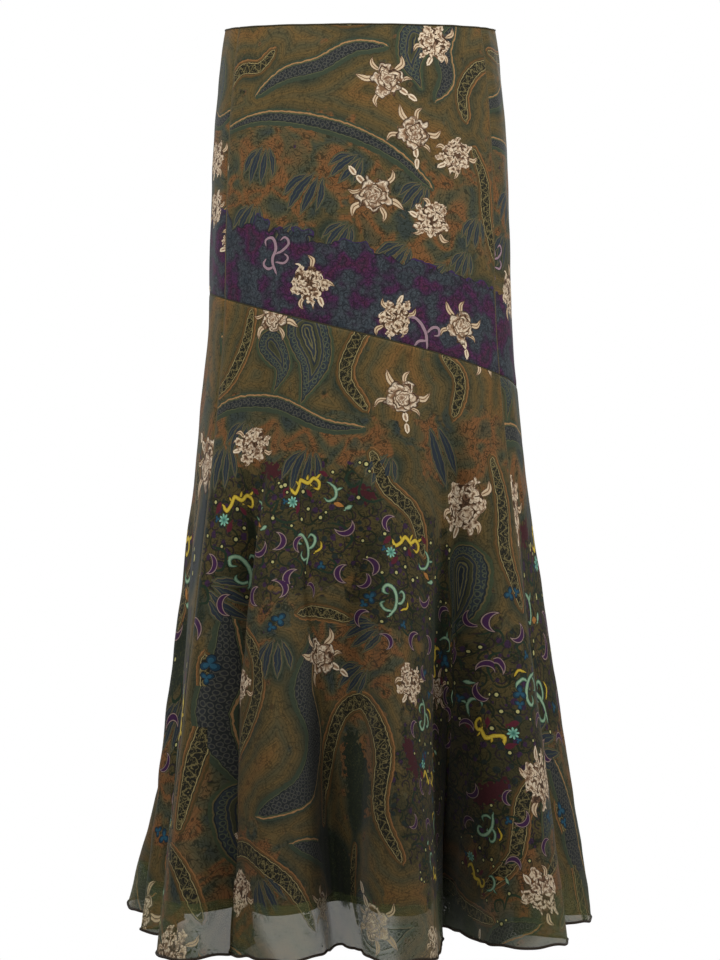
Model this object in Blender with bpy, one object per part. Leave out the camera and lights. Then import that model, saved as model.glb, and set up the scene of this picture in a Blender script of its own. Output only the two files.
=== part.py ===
"""Midi skirt of sheer printed chiffon over a plain lining, on the hollow form it has when worn.

It is a yoke with a slanting seam, a skirt that hangs in flutes and a shorter lining. The origin is the
middle of the waist opening, the front faces -Y and +Z is up. The yoke's seam is highest on the -X side.
Sizes are metres, and angles are degrees round the body from the middle of the front, towards +X.
"""

import math

import bmesh
import bpy
import numpy as np

WALL = 0.0010  # cloth, in every piece
SEAM_GAP = 0.0004  # between two pieces along a seam
HEM = -0.897  # level of the outer hem
LINING_HEM = -0.855
WAIST_TILT = 0.0105  # the waist edge dips this much in front and rises this much behind
SIDE_SEAM = 62.0  # each side of the middle of the front
YOKE_SEAM_LEVEL, YOKE_SEAM_TILT, YOKE_SEAM_WAVE = -0.310, 0.047, 0.005
LINING_CLEARANCE_TOP, LINING_CLEARANCE_HEM = 0.0026, 0.0070  # from the outer cloth's face to the lining's
FLUTE_ROUND = 0.9  # how far behind its crest a flute is widest, in half widths
FLUTE_EASE = 1.15  # how gently a flute begins
STEPS = 2  # columns from one point of a flute to the next
YOKE_ROWS, SKIRT_ROWS, LINING_ROWS = 3, 11, 9

# The body's sections: level, half width, depth in front, depth behind.
SECTIONS = (
    ("waist", 0.010, 0.1335, 0.0970, 0.1010),
    ("low waist", -0.040, 0.1400, 0.1040, 0.1100),
    ("high hip", -0.100, 0.1455, 0.1090, 0.1190),
    ("hip", -0.200, 0.1495, 0.1130, 0.1260),
    ("seat", -0.300, 0.1520, 0.1150, 0.1240),
    ("thigh", -0.390, 0.1600, 0.1210, 0.1270),
    ("knee", -0.570, 0.1800, 0.1380, 0.1500),
    ("calf", -0.730, 0.1980, 0.1520, 0.1740),
    ("hem", HEM, 0.2160, 0.1650, 0.1990),
)

# The flutes at the hem, round from the -X side seam by the front: crest x and y, half width, level where
# the flute begins, then the trough after it: x and y, and the level where that begins; last, how much the
# crest lifts the hem.
FLUTES = (
    ("front 1", -0.165, -0.197, 0.030, -0.40, -0.120, -0.124, -0.40, 0.000),
    ("front 2", -0.088, -0.206, 0.041, -0.42, -0.020, -0.110, -0.56, 0.000),
    ("front 3", 0.038, -0.212, 0.034, -0.42, 0.090, -0.012, -0.38, 0.000),
    ("front 4", 0.184, -0.122, 0.043, -0.40, 0.152, -0.026, -0.46, 0.000),
    ("side +X", 0.236, 0.082, 0.034, -0.42, 0.170, 0.116, -0.44, 0.000),
    ("back 1", 0.180, 0.206, 0.034, -0.44, 0.112, 0.164, -0.44, 0.002),
    ("back 2", 0.072, 0.243, 0.036, -0.42, 0.012, 0.176, -0.50, 0.003),
    ("back 3", -0.048, 0.244, 0.035, -0.44, -0.094, 0.170, -0.44, 0.003),
    ("back 4", -0.152, 0.214, 0.034, -0.44, -0.172, 0.128, -0.48, 0.003),
    ("back 5", -0.236, 0.150, 0.032, -0.48, -0.182, 0.060, -0.46, 0.007),
    ("side -X", -0.217, -0.018, 0.034, -0.38, -0.184, -0.086, -0.44, 0.000),
)
FRONT_FLUTES = 4  # the front panel runs from the first flute's near shoulder to this one's far shoulder
FRONT_LAST = (FRONT_FLUTES * 4 - 2) * STEPS  # its last column, where each flute has four points
PANELS = {  # first and last column, and the angles between which the panel lies on the hip
    "front": ((0, FRONT_LAST), -SIDE_SEAM, SIDE_SEAM),
    "back": ((FRONT_LAST, len(FLUTES) * 4 * STEPS), SIDE_SEAM, 360.0 - SIDE_SEAM),
}

CHIFFON = ("printed_chiffon", (0.075, 0.062, 0.026), 0.80)
LINING_CLOTH = ("lining_cloth", (0.040, 0.040, 0.022), 0.70)


def catmull(before, start, end, after, t):
    """A point of the smooth curve that passes start at t = 0 and end at t = 1."""
    return 0.5 * (
        2 * start
        + (end - before) * t
        + (2 * before - 5 * start + 4 * end - after) * t**2
        + (3 * start - before - 3 * end + after) * t**3
    )


def body_section(level):
    """Half width, front depth and back depth at a level, on a smooth curve through SECTIONS."""
    levels = [row[1] for row in SECTIONS]
    sizes = np.array([row[2:] for row in SECTIONS])
    slopes = np.gradient(sizes, levels, axis=0)
    below = next((i for i, z in enumerate(levels) if z < level), len(levels) - 1)
    i = max(1, below)
    span = levels[i] - levels[i - 1]
    t = (level - levels[i - 1]) / span
    return (
        (2 * t**3 - 3 * t**2 + 1) * sizes[i - 1]
        + (t**3 - 2 * t**2 + t) * span * slopes[i - 1]
        + (3 * t**2 - 2 * t**3) * sizes[i]
        + (t**3 - t**2) * span * slopes[i]
    )


def body_point(angle, level):
    """The plan position on the body's own section, with no flutes."""
    half_width, front, back = body_section(level)
    turn = math.radians(angle)
    depth = front if math.cos(turn) > 0 else back
    return np.array([half_width * math.sin(turn), -depth * math.cos(turn)])


def flute_points():
    """The hem's plan as a closed ring of rows (x, y, start level, lift): each flute's near shoulder, crest
    and far shoulder, then its trough."""
    ring = []
    for i, (_, x, y, half, start, trough_x, trough_y, trough_start, lift) in enumerate(FLUTES):
        crest = np.array([x, y])
        trough = np.array([trough_x, trough_y])
        root = (np.array(FLUTES[i - 1][5:7]) + trough) / 2
        out = (crest - root) / np.linalg.norm(crest - root)
        across = np.array([-out[1], out[0]])
        widest = crest - FLUTE_ROUND * half * out
        ring.append([*(widest - half * across), start, lift / 2])
        ring.append([*crest, start, lift])
        ring.append([*(widest + half * across), start, lift / 2])
        ring.append([*trough, trough_start, 0.0])
    return np.array(ring)


def ring_columns():
    """The columns of cloth right round, from the -X side seam by the front and back to it, as (angle round
    the body, hem row). Along the hip each panel's columns are spread as they are along its hem."""
    ring = flute_points()
    hem = np.array(
        [
            catmull(*(ring[(k + j) % len(ring)] for j in (-1, 0, 1, 2)), s / STEPS)
            for k in range(len(ring))
            for s in range(STEPS)
        ]
    )
    hem = np.append(hem, hem[:1], axis=0)
    angles = []
    for (first, last), angle_from, angle_to in PANELS.values():
        panel = hem[first : last + 1, :2]
        along = np.concatenate([[0], np.cumsum(np.linalg.norm(np.diff(panel, axis=0), axis=1))])
        fine = np.linspace(angle_from, angle_to, 361)
        hip = np.array([body_point(a, YOKE_SEAM_LEVEL) for a in fine])
        round_hip = np.concatenate([[0], np.cumsum(np.linalg.norm(np.diff(hip, axis=0), axis=1))])
        angles += list(np.interp(along[:-1] / along[-1] * round_hip[-1], round_hip, fine))
    return list(zip([*angles, angles[0] + 360.0], hem))


def cloth_point(column, level):
    """Where a column's cloth is in plan at a level: on the body's section, and on its flute below where
    that begins."""
    angle, (x, y, start, _) = column
    grown = max(0.0, (start - level) / (start - HEM)) ** FLUTE_EASE
    return body_point(angle, level) + grown * (np.array([x, y]) - body_point(angle, HEM))


def moved_in(ring, distances):
    """A closed ring of plan points, moved to the inner side of the cloth, square to its run."""
    closed = np.concatenate([ring[-2:-1], ring, ring[1:2]])
    run = closed[2:] - closed[:-2]
    inward = np.stack([-run[:, 1], run[:, 0]], axis=1)
    return ring + distances[:, None] * inward / np.linalg.norm(inward, axis=1, keepdims=True)


def parted(row):
    """A row of points with its ends drawn in by half the seam gap."""
    row = np.array(row)
    for end, beside in ((0, 1), (-1, -2)):
        way = row[beside] - row[end]
        row[end] += way * SEAM_GAP / 2 / np.linalg.norm(way)
    return row


def waist_level(column):
    return -WAIST_TILT * math.cos(math.radians(column[0]))


def yoke_seam_level(column):
    turn = math.radians(column[0])
    return YOKE_SEAM_LEVEL - YOKE_SEAM_TILT * math.sin(turn) + YOKE_SEAM_WAVE * math.sin(2 * turn)


def hem_level(column):
    return HEM + column[1][3]


def lining_hem_level(column):
    return LINING_HEM + column[1][3]


def cloth_material(name, colour, roughness):
    material = bpy.data.materials.get(name) or bpy.data.materials.new(name)
    material.use_nodes = True
    shader = material.node_tree.nodes["Principled BSDF"]
    shader.inputs["Base Color"].default_value = (*colour, 1.0)
    shader.inputs["Roughness"].default_value = roughness
    shader.inputs["Metallic"].default_value = 0.0
    return material


def cloth_face(columns, span, top, bottom, rows, clearance):
    """One face of a cut piece, as a grid of points: the columns in span from the level top(column) down
    to bottom(column), moved in by clearance's first value at the waist and its second at the hem."""
    first, last = span
    grid = []
    for r in range(rows + 1):
        levels = np.array([top(c) + (bottom(c) - top(c)) * r / rows for c in columns])
        plan = np.array([cloth_point(c, z) for c, z in zip(columns, levels)])
        plan = moved_in(plan, np.interp(levels, [HEM, 0.0], [clearance[1], clearance[0]]))
        ring = np.column_stack([plan, levels])
        grid.append(parted(ring[first : last + 1]))
    return np.array(grid)


def cloth_piece(name, columns, span, top, bottom, rows, cloth, clearance=(0.0, 0.0)):
    """One cut piece: its two faces, a wall apart, closed along the four edges."""
    outer = cloth_face(columns, span, top, bottom, rows, clearance)
    inner = cloth_face(columns, span, top, bottom, rows, [c + WALL for c in clearance])
    mesh_maker = bmesh.new()
    out = [[mesh_maker.verts.new(p) for p in row] for row in outer]
    inn = [[mesh_maker.verts.new(p) for p in row] for row in inner]
    across = len(out[0])
    for r in range(rows):
        for c in range(across - 1):
            mesh_maker.faces.new((out[r][c], out[r + 1][c], out[r + 1][c + 1], out[r][c + 1]))
            mesh_maker.faces.new((inn[r][c], inn[r][c + 1], inn[r + 1][c + 1], inn[r + 1][c]))
        mesh_maker.faces.new((out[r][0], inn[r][0], inn[r + 1][0], out[r + 1][0]))
        mesh_maker.faces.new((out[r][-1], out[r + 1][-1], inn[r + 1][-1], inn[r][-1]))
    for c in range(across - 1):
        mesh_maker.faces.new((out[0][c], out[0][c + 1], inn[0][c + 1], inn[0][c]))
        mesh_maker.faces.new((out[-1][c], inn[-1][c], inn[-1][c + 1], out[-1][c + 1]))
    mesh = bpy.data.meshes.new(name)
    mesh_maker.to_mesh(mesh)
    mesh_maker.free()
    mesh.shade_smooth()
    mesh.materials.append(cloth_material(*cloth))
    piece = bpy.data.objects.new(name, mesh)
    bpy.context.scene.collection.objects.link(piece)
    return piece


def skirt():
    columns = ring_columns()
    clearance = (LINING_CLEARANCE_TOP, LINING_CLEARANCE_HEM)
    for panel, (span, _, _) in PANELS.items():
        cloth_piece(
            f"yoke_{panel}",
            columns,
            span,
            waist_level,
            lambda c: yoke_seam_level(c) + SEAM_GAP,
            YOKE_ROWS,
            CHIFFON,
        )
        cloth_piece(f"skirt_{panel}", columns, span, yoke_seam_level, hem_level, SKIRT_ROWS, CHIFFON)
        cloth_piece(
            f"lining_{panel}",
            columns,
            span,
            waist_level,
            lining_hem_level,
            LINING_ROWS,
            LINING_CLOTH,
            clearance,
        )


for existing in list(bpy.data.objects):
    bpy.data.objects.remove(existing, do_unlink=True)
skirt()
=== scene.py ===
"""Looks of the midi skirt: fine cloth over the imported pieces, its print, seams, rolled hem and lining.

Sizes are metres; the flat cut pieces, the creases drawn on them and the print are in mm. Angles are
degrees round the body from the middle of the front, towards +X. The origin is the middle of the waist
opening, -Y is the front and +Z is up.
"""

import math

import bpy
import numpy as np
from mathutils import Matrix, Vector


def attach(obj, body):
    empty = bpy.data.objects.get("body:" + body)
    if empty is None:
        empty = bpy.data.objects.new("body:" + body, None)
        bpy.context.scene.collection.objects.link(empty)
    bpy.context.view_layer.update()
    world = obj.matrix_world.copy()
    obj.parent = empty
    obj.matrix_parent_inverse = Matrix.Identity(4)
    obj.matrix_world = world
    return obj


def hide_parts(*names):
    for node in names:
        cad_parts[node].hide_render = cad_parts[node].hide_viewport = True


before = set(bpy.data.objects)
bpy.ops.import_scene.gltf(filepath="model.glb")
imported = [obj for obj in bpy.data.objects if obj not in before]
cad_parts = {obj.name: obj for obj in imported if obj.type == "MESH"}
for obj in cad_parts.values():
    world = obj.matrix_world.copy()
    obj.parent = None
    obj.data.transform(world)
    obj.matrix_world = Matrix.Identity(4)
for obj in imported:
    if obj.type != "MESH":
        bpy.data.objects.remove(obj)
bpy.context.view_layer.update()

# ---- the garment's form, as the CAD has it

HEM = -0.897
LINING_HEM = -0.855
WAIST_TILT = 0.0105
SIDE_SEAM = 62.0
YOKE_SEAM_LEVEL, YOKE_SEAM_TILT, YOKE_SEAM_WAVE = -0.310, 0.047, 0.005
LINING_CLEARANCE_TOP, LINING_CLEARANCE_HEM = 0.0026, 0.0070
FLUTE_ROUND = 0.9  # how far behind its crest a flute is widest, as a share of its half width
FLUTE_EASE = 1.15  # above 1 a flute opens slowly at first

# The body's sections: level, half width, depth in front, depth behind.
SECTIONS = (
    ("waist", 0.010, 0.1335, 0.0970, 0.1010),
    ("low waist", -0.040, 0.1400, 0.1040, 0.1100),
    ("high hip", -0.100, 0.1455, 0.1090, 0.1190),
    ("hip", -0.200, 0.1495, 0.1130, 0.1260),
    ("seat", -0.300, 0.1520, 0.1150, 0.1240),
    ("thigh", -0.390, 0.1600, 0.1210, 0.1270),
    ("knee", -0.570, 0.1800, 0.1380, 0.1500),
    ("calf", -0.730, 0.1980, 0.1520, 0.1740),
    ("hem", HEM, 0.2160, 0.1650, 0.1990),
)

# The flutes at the hem, round from the -X side seam by the front: crest x and y, half width, level where
# the flute begins, then the trough after it: x and y, and the level where that begins; last, how much the
# crest lifts the hem.
FLUTES = (
    ("front 1", -0.165, -0.197, 0.030, -0.40, -0.120, -0.124, -0.40, 0.000),
    ("front 2", -0.088, -0.206, 0.041, -0.42, -0.020, -0.110, -0.56, 0.000),
    ("front 3", 0.038, -0.212, 0.034, -0.42, 0.090, -0.012, -0.38, 0.000),
    ("front 4", 0.184, -0.122, 0.043, -0.40, 0.152, -0.026, -0.46, 0.000),
    ("side +X", 0.236, 0.082, 0.034, -0.42, 0.170, 0.116, -0.44, 0.000),
    ("back 1", 0.180, 0.206, 0.034, -0.44, 0.112, 0.164, -0.44, 0.002),
    ("back 2", 0.072, 0.243, 0.036, -0.42, 0.012, 0.176, -0.50, 0.003),
    ("back 3", -0.048, 0.244, 0.035, -0.44, -0.094, 0.170, -0.44, 0.003),
    ("back 4", -0.152, 0.214, 0.034, -0.44, -0.172, 0.128, -0.48, 0.003),
    ("back 5", -0.236, 0.150, 0.032, -0.48, -0.182, 0.060, -0.46, 0.007),
    ("side -X", -0.217, -0.018, 0.034, -0.38, -0.184, -0.086, -0.44, 0.000),
)
FRONT_POINTS = 14  # ring points from the first flute's near shoulder to the fourth's far shoulder


def catmull(before, start, end, after, t):
    """A point of the smooth curve that passes start at t = 0 and end at t = 1."""
    return 0.5 * (
        2 * start
        + (end - before) * t
        + (2 * before - 5 * start + 4 * end - after) * t**2
        + (3 * start - before - 3 * end + after) * t**3
    )


def body_section(levels):
    """Half width, front depth and back depth at each level, on smooth curves through SECTIONS."""
    known = np.array([row[1] for row in SECTIONS])
    sizes = np.array([row[2:] for row in SECTIONS])
    slopes = np.gradient(sizes, known, axis=0)
    i = np.clip(np.searchsorted(-known, -levels), 1, len(known) - 1)
    span = known[i] - known[i - 1]
    t = ((levels - known[i - 1]) / span)[..., None]
    span = span[..., None]
    return (
        (2 * t**3 - 3 * t**2 + 1) * sizes[i - 1]
        + (t**3 - 2 * t**2 + t) * span * slopes[i - 1]
        + (3 * t**2 - 2 * t**3) * sizes[i]
        + (t**3 - t**2) * span * slopes[i]
    )


def body_plan(angles, levels):
    """Plan positions on the body's own sections, with no flutes."""
    section = body_section(levels)
    turn = np.radians(angles)
    depth = np.where(np.cos(turn) > 0, section[..., 1], section[..., 2])
    return np.stack([section[..., 0] * np.sin(turn), -depth * np.cos(turn)], axis=-1)


def flute_points():
    """The hem's plan as a closed ring of rows (x, y, start level, lift)."""
    ring = []
    for i, (_, x, y, half, start, trough_x, trough_y, trough_start, lift) in enumerate(FLUTES):
        crest = np.array([x, y])
        trough = np.array([trough_x, trough_y])
        root = (np.array(FLUTES[i - 1][5:7]) + trough) / 2
        out = (crest - root) / np.linalg.norm(crest - root)
        across = np.array([-out[1], out[0]])
        widest = crest - FLUTE_ROUND * half * out
        ring.append([*(widest - half * across), start, lift / 2])
        ring.append([*crest, start, lift])
        ring.append([*(widest + half * across), start, lift / 2])
        ring.append([*trough, trough_start, 0.0])
    return np.array(ring)


def run_length(points):
    """How far along a row of points each one lies."""
    steps = np.linalg.norm(np.diff(points, axis=0), axis=1)
    return np.concatenate([[0.0], np.cumsum(steps)])


FINE_STEPS = 40  # from one ring point to the next, where the ring is measured
HIP_POINTS = 721  # on each panel, where the hip is measured


def measured_ring():
    """Each panel's hem as fine rows (share of the panel's width, x, y, start level, lift), and the angles
    round the hip that go with shares of its width."""
    ring = flute_points()
    count = len(ring)
    fine = [
        catmull(*(ring[(k + j) % count] for j in (-1, 0, 1, 2)), s / FINE_STEPS)
        for k in range(count)
        for s in range(FINE_STEPS)
    ]
    fine = np.array([*fine, fine[0]])
    cut = FRONT_POINTS * FINE_STEPS
    panels = {}
    for name, rows, angle_from, angle_to in (
        ("front", fine[: cut + 1], -SIDE_SEAM, SIDE_SEAM),
        ("back", fine[cut:], SIDE_SEAM, 360.0 - SIDE_SEAM),
    ):
        along = run_length(rows[:, :2])
        angles = np.linspace(angle_from, angle_to, HIP_POINTS)
        hip = run_length(body_plan(angles, np.full(len(angles), YOKE_SEAM_LEVEL)))
        panels[name] = (along / along[-1], rows, hip / hip[-1], angles)
    return panels


PANELS = measured_ring()


def columns_of(panel, shares):
    """Angle, hem x, hem y, start level and lift of the panel's columns at these shares of its width."""
    hem_share, rows, hip_share, angles = PANELS[panel]
    hem = [np.interp(shares, hem_share, rows[:, k]) for k in range(4)]
    return np.stack([np.interp(shares, hip_share, angles), *hem], axis=-1)


def cloth_plan(columns, levels):
    """Where each column's cloth is in plan at its level: on the body, and on its flute lower down."""
    angles, start = columns[..., 0], columns[..., 3]
    grown = np.maximum(0.0, (start - levels) / (start - HEM)) ** FLUTE_EASE
    body = body_plan(angles, levels)
    at_hem = body_plan(angles, np.full(levels.shape, HEM))
    return body + grown[..., None] * (columns[..., 1:3] - at_hem)


def waist_level(columns):
    return -WAIST_TILT * np.cos(np.radians(columns[..., 0]))


def yoke_seam_level(columns):
    turn = np.radians(columns[..., 0])
    return YOKE_SEAM_LEVEL - YOKE_SEAM_TILT * np.sin(turn) + YOKE_SEAM_WAVE * np.sin(2 * turn)


def hem_level(columns):
    return HEM + columns[..., 4]


def lining_hem_level(columns):
    return LINING_HEM + columns[..., 4]


# ---- flat cloth: where each point was before sewing

FLAT_LEVELS = np.linspace(0.012, HEM - 0.004, 92)  # from just above the waist to just below the hem
WIDTH_POINTS = 900  # across a panel, where its width is measured


def half_widths(panel):
    """Half the panel's width along the cloth at each of FLAT_LEVELS."""
    columns = columns_of(panel, np.linspace(0, 1, WIDTH_POINTS))
    rows = (cloth_plan(columns, np.full(WIDTH_POINTS, z)) for z in FLAT_LEVELS)
    return np.array([run_length(row)[-1] / 2 for row in rows])


HALF_WIDTHS = {panel: half_widths(panel) for panel in PANELS}


def flat_place(panel, shares, levels):
    """Each point's place on the flat cut piece, in mm: across from its middle line, and down from the
    waist. The piece opens out like a fan where it widens downwards."""
    half = HALF_WIDTHS[panel]
    turn = np.gradient(half, -FLAT_LEVELS)
    turn = np.convolve(np.pad(turn, 4, mode="edge"), np.full(9, 1 / 9), mode="valid")
    w = np.interp(levels, FLAT_LEVELS[::-1], half[::-1])
    phi = np.maximum(np.interp(levels, FLAT_LEVELS[::-1], turn[::-1]), 1e-3)
    side = 2 * shares - 1
    across = w * np.sin(side * phi) / phi
    fall = -levels - w * (1 - np.cos(side * phi)) / phi
    return np.stack([across, fall], axis=-1) * 1000.0


# ---- smooth lines on the flat cloth


def smooth(t):
    t = np.clip(t, 0, 1)
    return t * t * (3 - 2 * t)


def smooth_line(points, step=2.2):
    """A smooth line through a shape's points, with a point every step or so."""
    points = np.array(points, float)
    ends = np.concatenate([[2 * points[0] - points[1]], points, [2 * points[-1] - points[-2]]])
    line = []
    for i in range(1, len(ends) - 2):
        steps = max(2, round(np.linalg.norm(ends[i + 1] - ends[i]) / step))
        line += [catmull(*ends[i - 1 : i + 3], s / steps) for s in range(steps)]
    return np.array([*line, points[-1]])


def beside_line(line, points, half):
    """How far along the line each point is, and how far off it with the sign of its side. Behind the line's
    start, in the round end of a shape of this half width, the length goes on below 0."""
    way = np.diff(line, axis=0)
    length = np.linalg.norm(way, axis=1)
    gap = points[:, None] - line[None, :-1]
    t = np.clip((gap * way).sum(-1) / length**2, 0, 1)
    off = gap - t[..., None] * way
    distance = np.linalg.norm(off, axis=-1)
    best = distance.argmin(1)
    row = np.arange(len(points))
    away = distance[row, best]
    along = np.concatenate([[0], np.cumsum(length)])[best] + t[row, best] * length[best]
    turn = way[best, 0] * gap[row, best, 1] - way[best, 1] * gap[row, best, 0]
    behind = -(gap[row, 0] * way[0]).sum(-1) / length[0]
    along = np.where(along > 0, along, -half * np.arcsin(np.clip(behind / np.maximum(away, 1e-6), 0, 1)))
    return along, away * np.where(turn < 0, -1, 1)


# ---- creases, placed on the flat pieces

# Soft ridges (height over 0) and troughs, in mm: half width on the -X side and on the +X side, height, then
# the points of its line from the top. Creases die out at both ends of their line.
CREASES = {
    "front": (
        (9, 9, -0.7, (-118, 70), (-84, 92), (-60, 108)),
        (10, 10, 0.6, (-124, 96), (-98, 120), (-84, 140)),
        (9, 9, -0.7, (128, 62), (104, 88), (92, 120)),
        (12, 12, -0.6, (118, 150), (92, 168), (60, 178)),
        (16, 16, 0.5, (-60, 190), (-8, 196), (40, 214)),
        (12, 12, -0.5, (-92, 262), (-50, 270), (-10, 270)),
        (19, 12, -7.5, (-88, 296), (-87, 345), (-92, 400), (-106, 480)),
        (20, 12, -5.5, (92, 336), (96, 385), (103, 440), (114, 500)),
        (22, 16, 2.4, (36, 340), (42, 390), (48, 450)),
        (14, 20, 2.6, (-58, 316), (-57, 370), (-62, 450)),
        (18, 18, 1.6, (-28, 420), (-34, 520), (-36, 640)),
    ),
    "back": (
        (12, 12, -0.8, (-170, 80), (-128, 100), (-96, 132)),
        (12, 12, -0.8, (172, 92), (132, 110), (104, 140)),
        (18, 18, 0.6, (-40, 230), (10, 232), (60, 246)),
        (14, 14, -0.7, (-150, 270), (-104, 292), (-60, 300)),
        (16, 16, 1.8, (-40, 390), (-48, 520), (-52, 650)),
        (16, 16, 2.0, (118, 400), (132, 520), (160, 660)),
    ),
}
# Folds run to the hem, and grow all the way down.
FOLDS = {
    "front": (
        (37, 12, -34.0, (-96, 380), (-104, 446), (-134, 530), (-166, 584), (-204, 618), (-240, 648),
         (-280, 700), (-308, 770), (-330, 860)),
        (24, 26, 9.0, (-70, 440), (-92, 520), (-104, 590), (-128, 656), (-154, 720), (-180, 780),
         (-200, 900)),
        (9, 26, -9.0, (70, 380), (74, 448), (92, 559), (106, 649), (112, 743), (114, 829), (116, 940)),
        (36, 34, -27.0, (86, 380), (102, 448), (137, 559), (173, 640), (198, 710), (213, 780),
         (221, 860), (229, 940)),
        (36, 14, -29.0, (0, 440), (3, 525), (1, 618), (-11, 700), (-22, 760), (-32, 828), (-48, 930)),
        (16, 22, 5.0, (40, 440), (52, 560), (62, 680), (66, 800), (66, 940)),
        (10, 26, -6.0, (-168, 420), (-196, 560), (-236, 740), (-262, 940)),
        (22, 10, -6.0, (128, 400), (150, 540), (190, 720), (228, 940)),
        (10, 24, -8.0, (160, 470), (206, 640), (248, 800), (276, 940)),
        (14, 14, 2.0, (-214, 620), (-240, 760), (-262, 940)),
        (14, 14, 1.8, (262, 640), (300, 760), (340, 940)),
    ),
    "back": (
        (34, 8, -20.0, (-180, 390), (-212, 560), (-256, 760), (-292, 940)),
        (8, 30, -14.0, (-112, 410), (-136, 600), (-152, 780), (-166, 940)),
        (38, 8, -22.0, (40, 390), (48, 560), (50, 740), (64, 940)),
        (8, 34, -18.0, (186, 390), (218, 560), (262, 760), (304, 940)),
        (14, 14, 2.0, (-330, 640), (-372, 760), (-430, 940)),
        (13, 13, -3.0, (-210, 680), (-232, 800), (-256, 940)),
        (14, 14, 2.0, (-70, 690), (-76, 800), (-82, 940)),
        (13, 13, -3.0, (96, 680), (102, 800), (114, 940)),
        (14, 14, 2.0, (300, 650), (338, 760), (392, 940)),
    ),
}
CREASE_STEP = 30.0  # from one point of a crease's line to the next
CREASE_REACH = 2.2  # half widths from its line, where a crease has all but died out
FOLD_START = 0.36  # the share of its length over which a fold deepens


def crease_heights(panel, flat):
    """How far the creases lift each point of the cloth, in metres."""
    points = flat.reshape(-1, 2)
    total = np.zeros(len(points))
    lines = [(False, *row) for row in CREASES[panel]] + [(True, *row) for row in FOLDS[panel]]
    for to_hem, near, far, height, *line in lines:
        line = smooth_line(line, CREASE_STEP)
        reach = CREASE_REACH * max(near, far)
        here = np.flatnonzero(((points > line.min(0) - reach) & (points < line.max(0) + reach)).all(1))
        if not len(here):
            continue
        along, off = beside_line(line, points[here], half=1.0)
        share = np.clip(along / run_length(line)[-1], 0, 1)
        grown = smooth(share / FOLD_START) if to_hem else np.sin(np.pi * share)
        half = np.where(off > 0, near, far) * (0.5 + 0.5 * share if to_hem else 1.0)
        total[here] += height * np.exp(-((off / half) ** 2)) * grown
    return total.reshape(flat.shape[:-1]) / 1000.0


# Light unevenness of hanging chiffon, in mm: wave length across and down, height, seed of its phase.
DRIFTS = ((62, 240, 0.55, 3), (38, 150, 0.35, 5), (23, 96, 0.16, 8), (90, 60, 0.20, 13))


def drift_heights(flat, seed):
    """Low wandering waves over the cloth, in metres."""
    total = np.zeros(flat.shape[:-1])
    for across, down, height, phase in DRIFTS:
        turn = np.random.default_rng(phase + seed).uniform(0, 2 * np.pi, 4)
        x = flat[..., 0] / across + 0.35 * np.sin(flat[..., 1] / down * 1.7 + turn[2])
        y = flat[..., 1] / down + 0.35 * np.sin(flat[..., 0] / across * 0.9 + turn[3])
        total += height * np.sin(2 * np.pi * x + turn[0]) * np.cos(2 * np.pi * y + turn[1])
    return total / 1000.0


# ---- cloth as thin closed shells

CLOTH = 0.00045  # thickness of the chiffon, drawn a little thicker than it is so that its edges show
LINING = 0.00050
SEAM_DIP, SEAM_DIP_REACH = 0.0007, 0.0022  # the cloth turns under beside a seam
CREASE_FADE = 0.022  # creases die out this far from a seam
SIDEWAYS = 0.75  # a fold pushes the cloth out to the sides this much as it does to the front and back


def normals_of(grid):
    """Outward unit normals of a grid whose rows run down and whose columns run round towards +X."""
    down, across = np.gradient(grid, axis=0), np.gradient(grid, axis=1)
    n = np.cross(down, across)
    return n / np.linalg.norm(n, axis=-1, keepdims=True)


# Small waves that the rolled hem puts in the chiffon, in mm: wave length, height, seed of its phase.
HEM_RIPPLES = ((74, 1.0, 2), (43, 0.6, 6), (27, 0.25, 9))
RIPPLE_RISE = 0.014  # how far above the hem they die out
RIPPLE_ENDS = 0.03  # the share of the hem, at each side seam, over which they die out
RIPPLE_SHIFT = 3  # columns from where the hem is highest to where it stands out most


def hem_ripple(panel, shares, seed):
    """How far the hem waves from its smooth line at these shares of the panel's width, in metres."""
    along = shares * HALF_WIDTHS[panel][-1] * 2000.0
    total = np.zeros(len(shares))
    for wave, height, phase in HEM_RIPPLES:
        turn = np.random.default_rng(phase + 10 * seed).uniform(0, 2 * np.pi, 2)
        total += height * np.sin(2 * np.pi * along / wave + turn[0] + 0.8 * np.sin(along / 70 + turn[1]))
    return total * smooth(np.minimum(shares, 1 - shares) / RIPPLE_ENDS) / 1000.0


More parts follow.
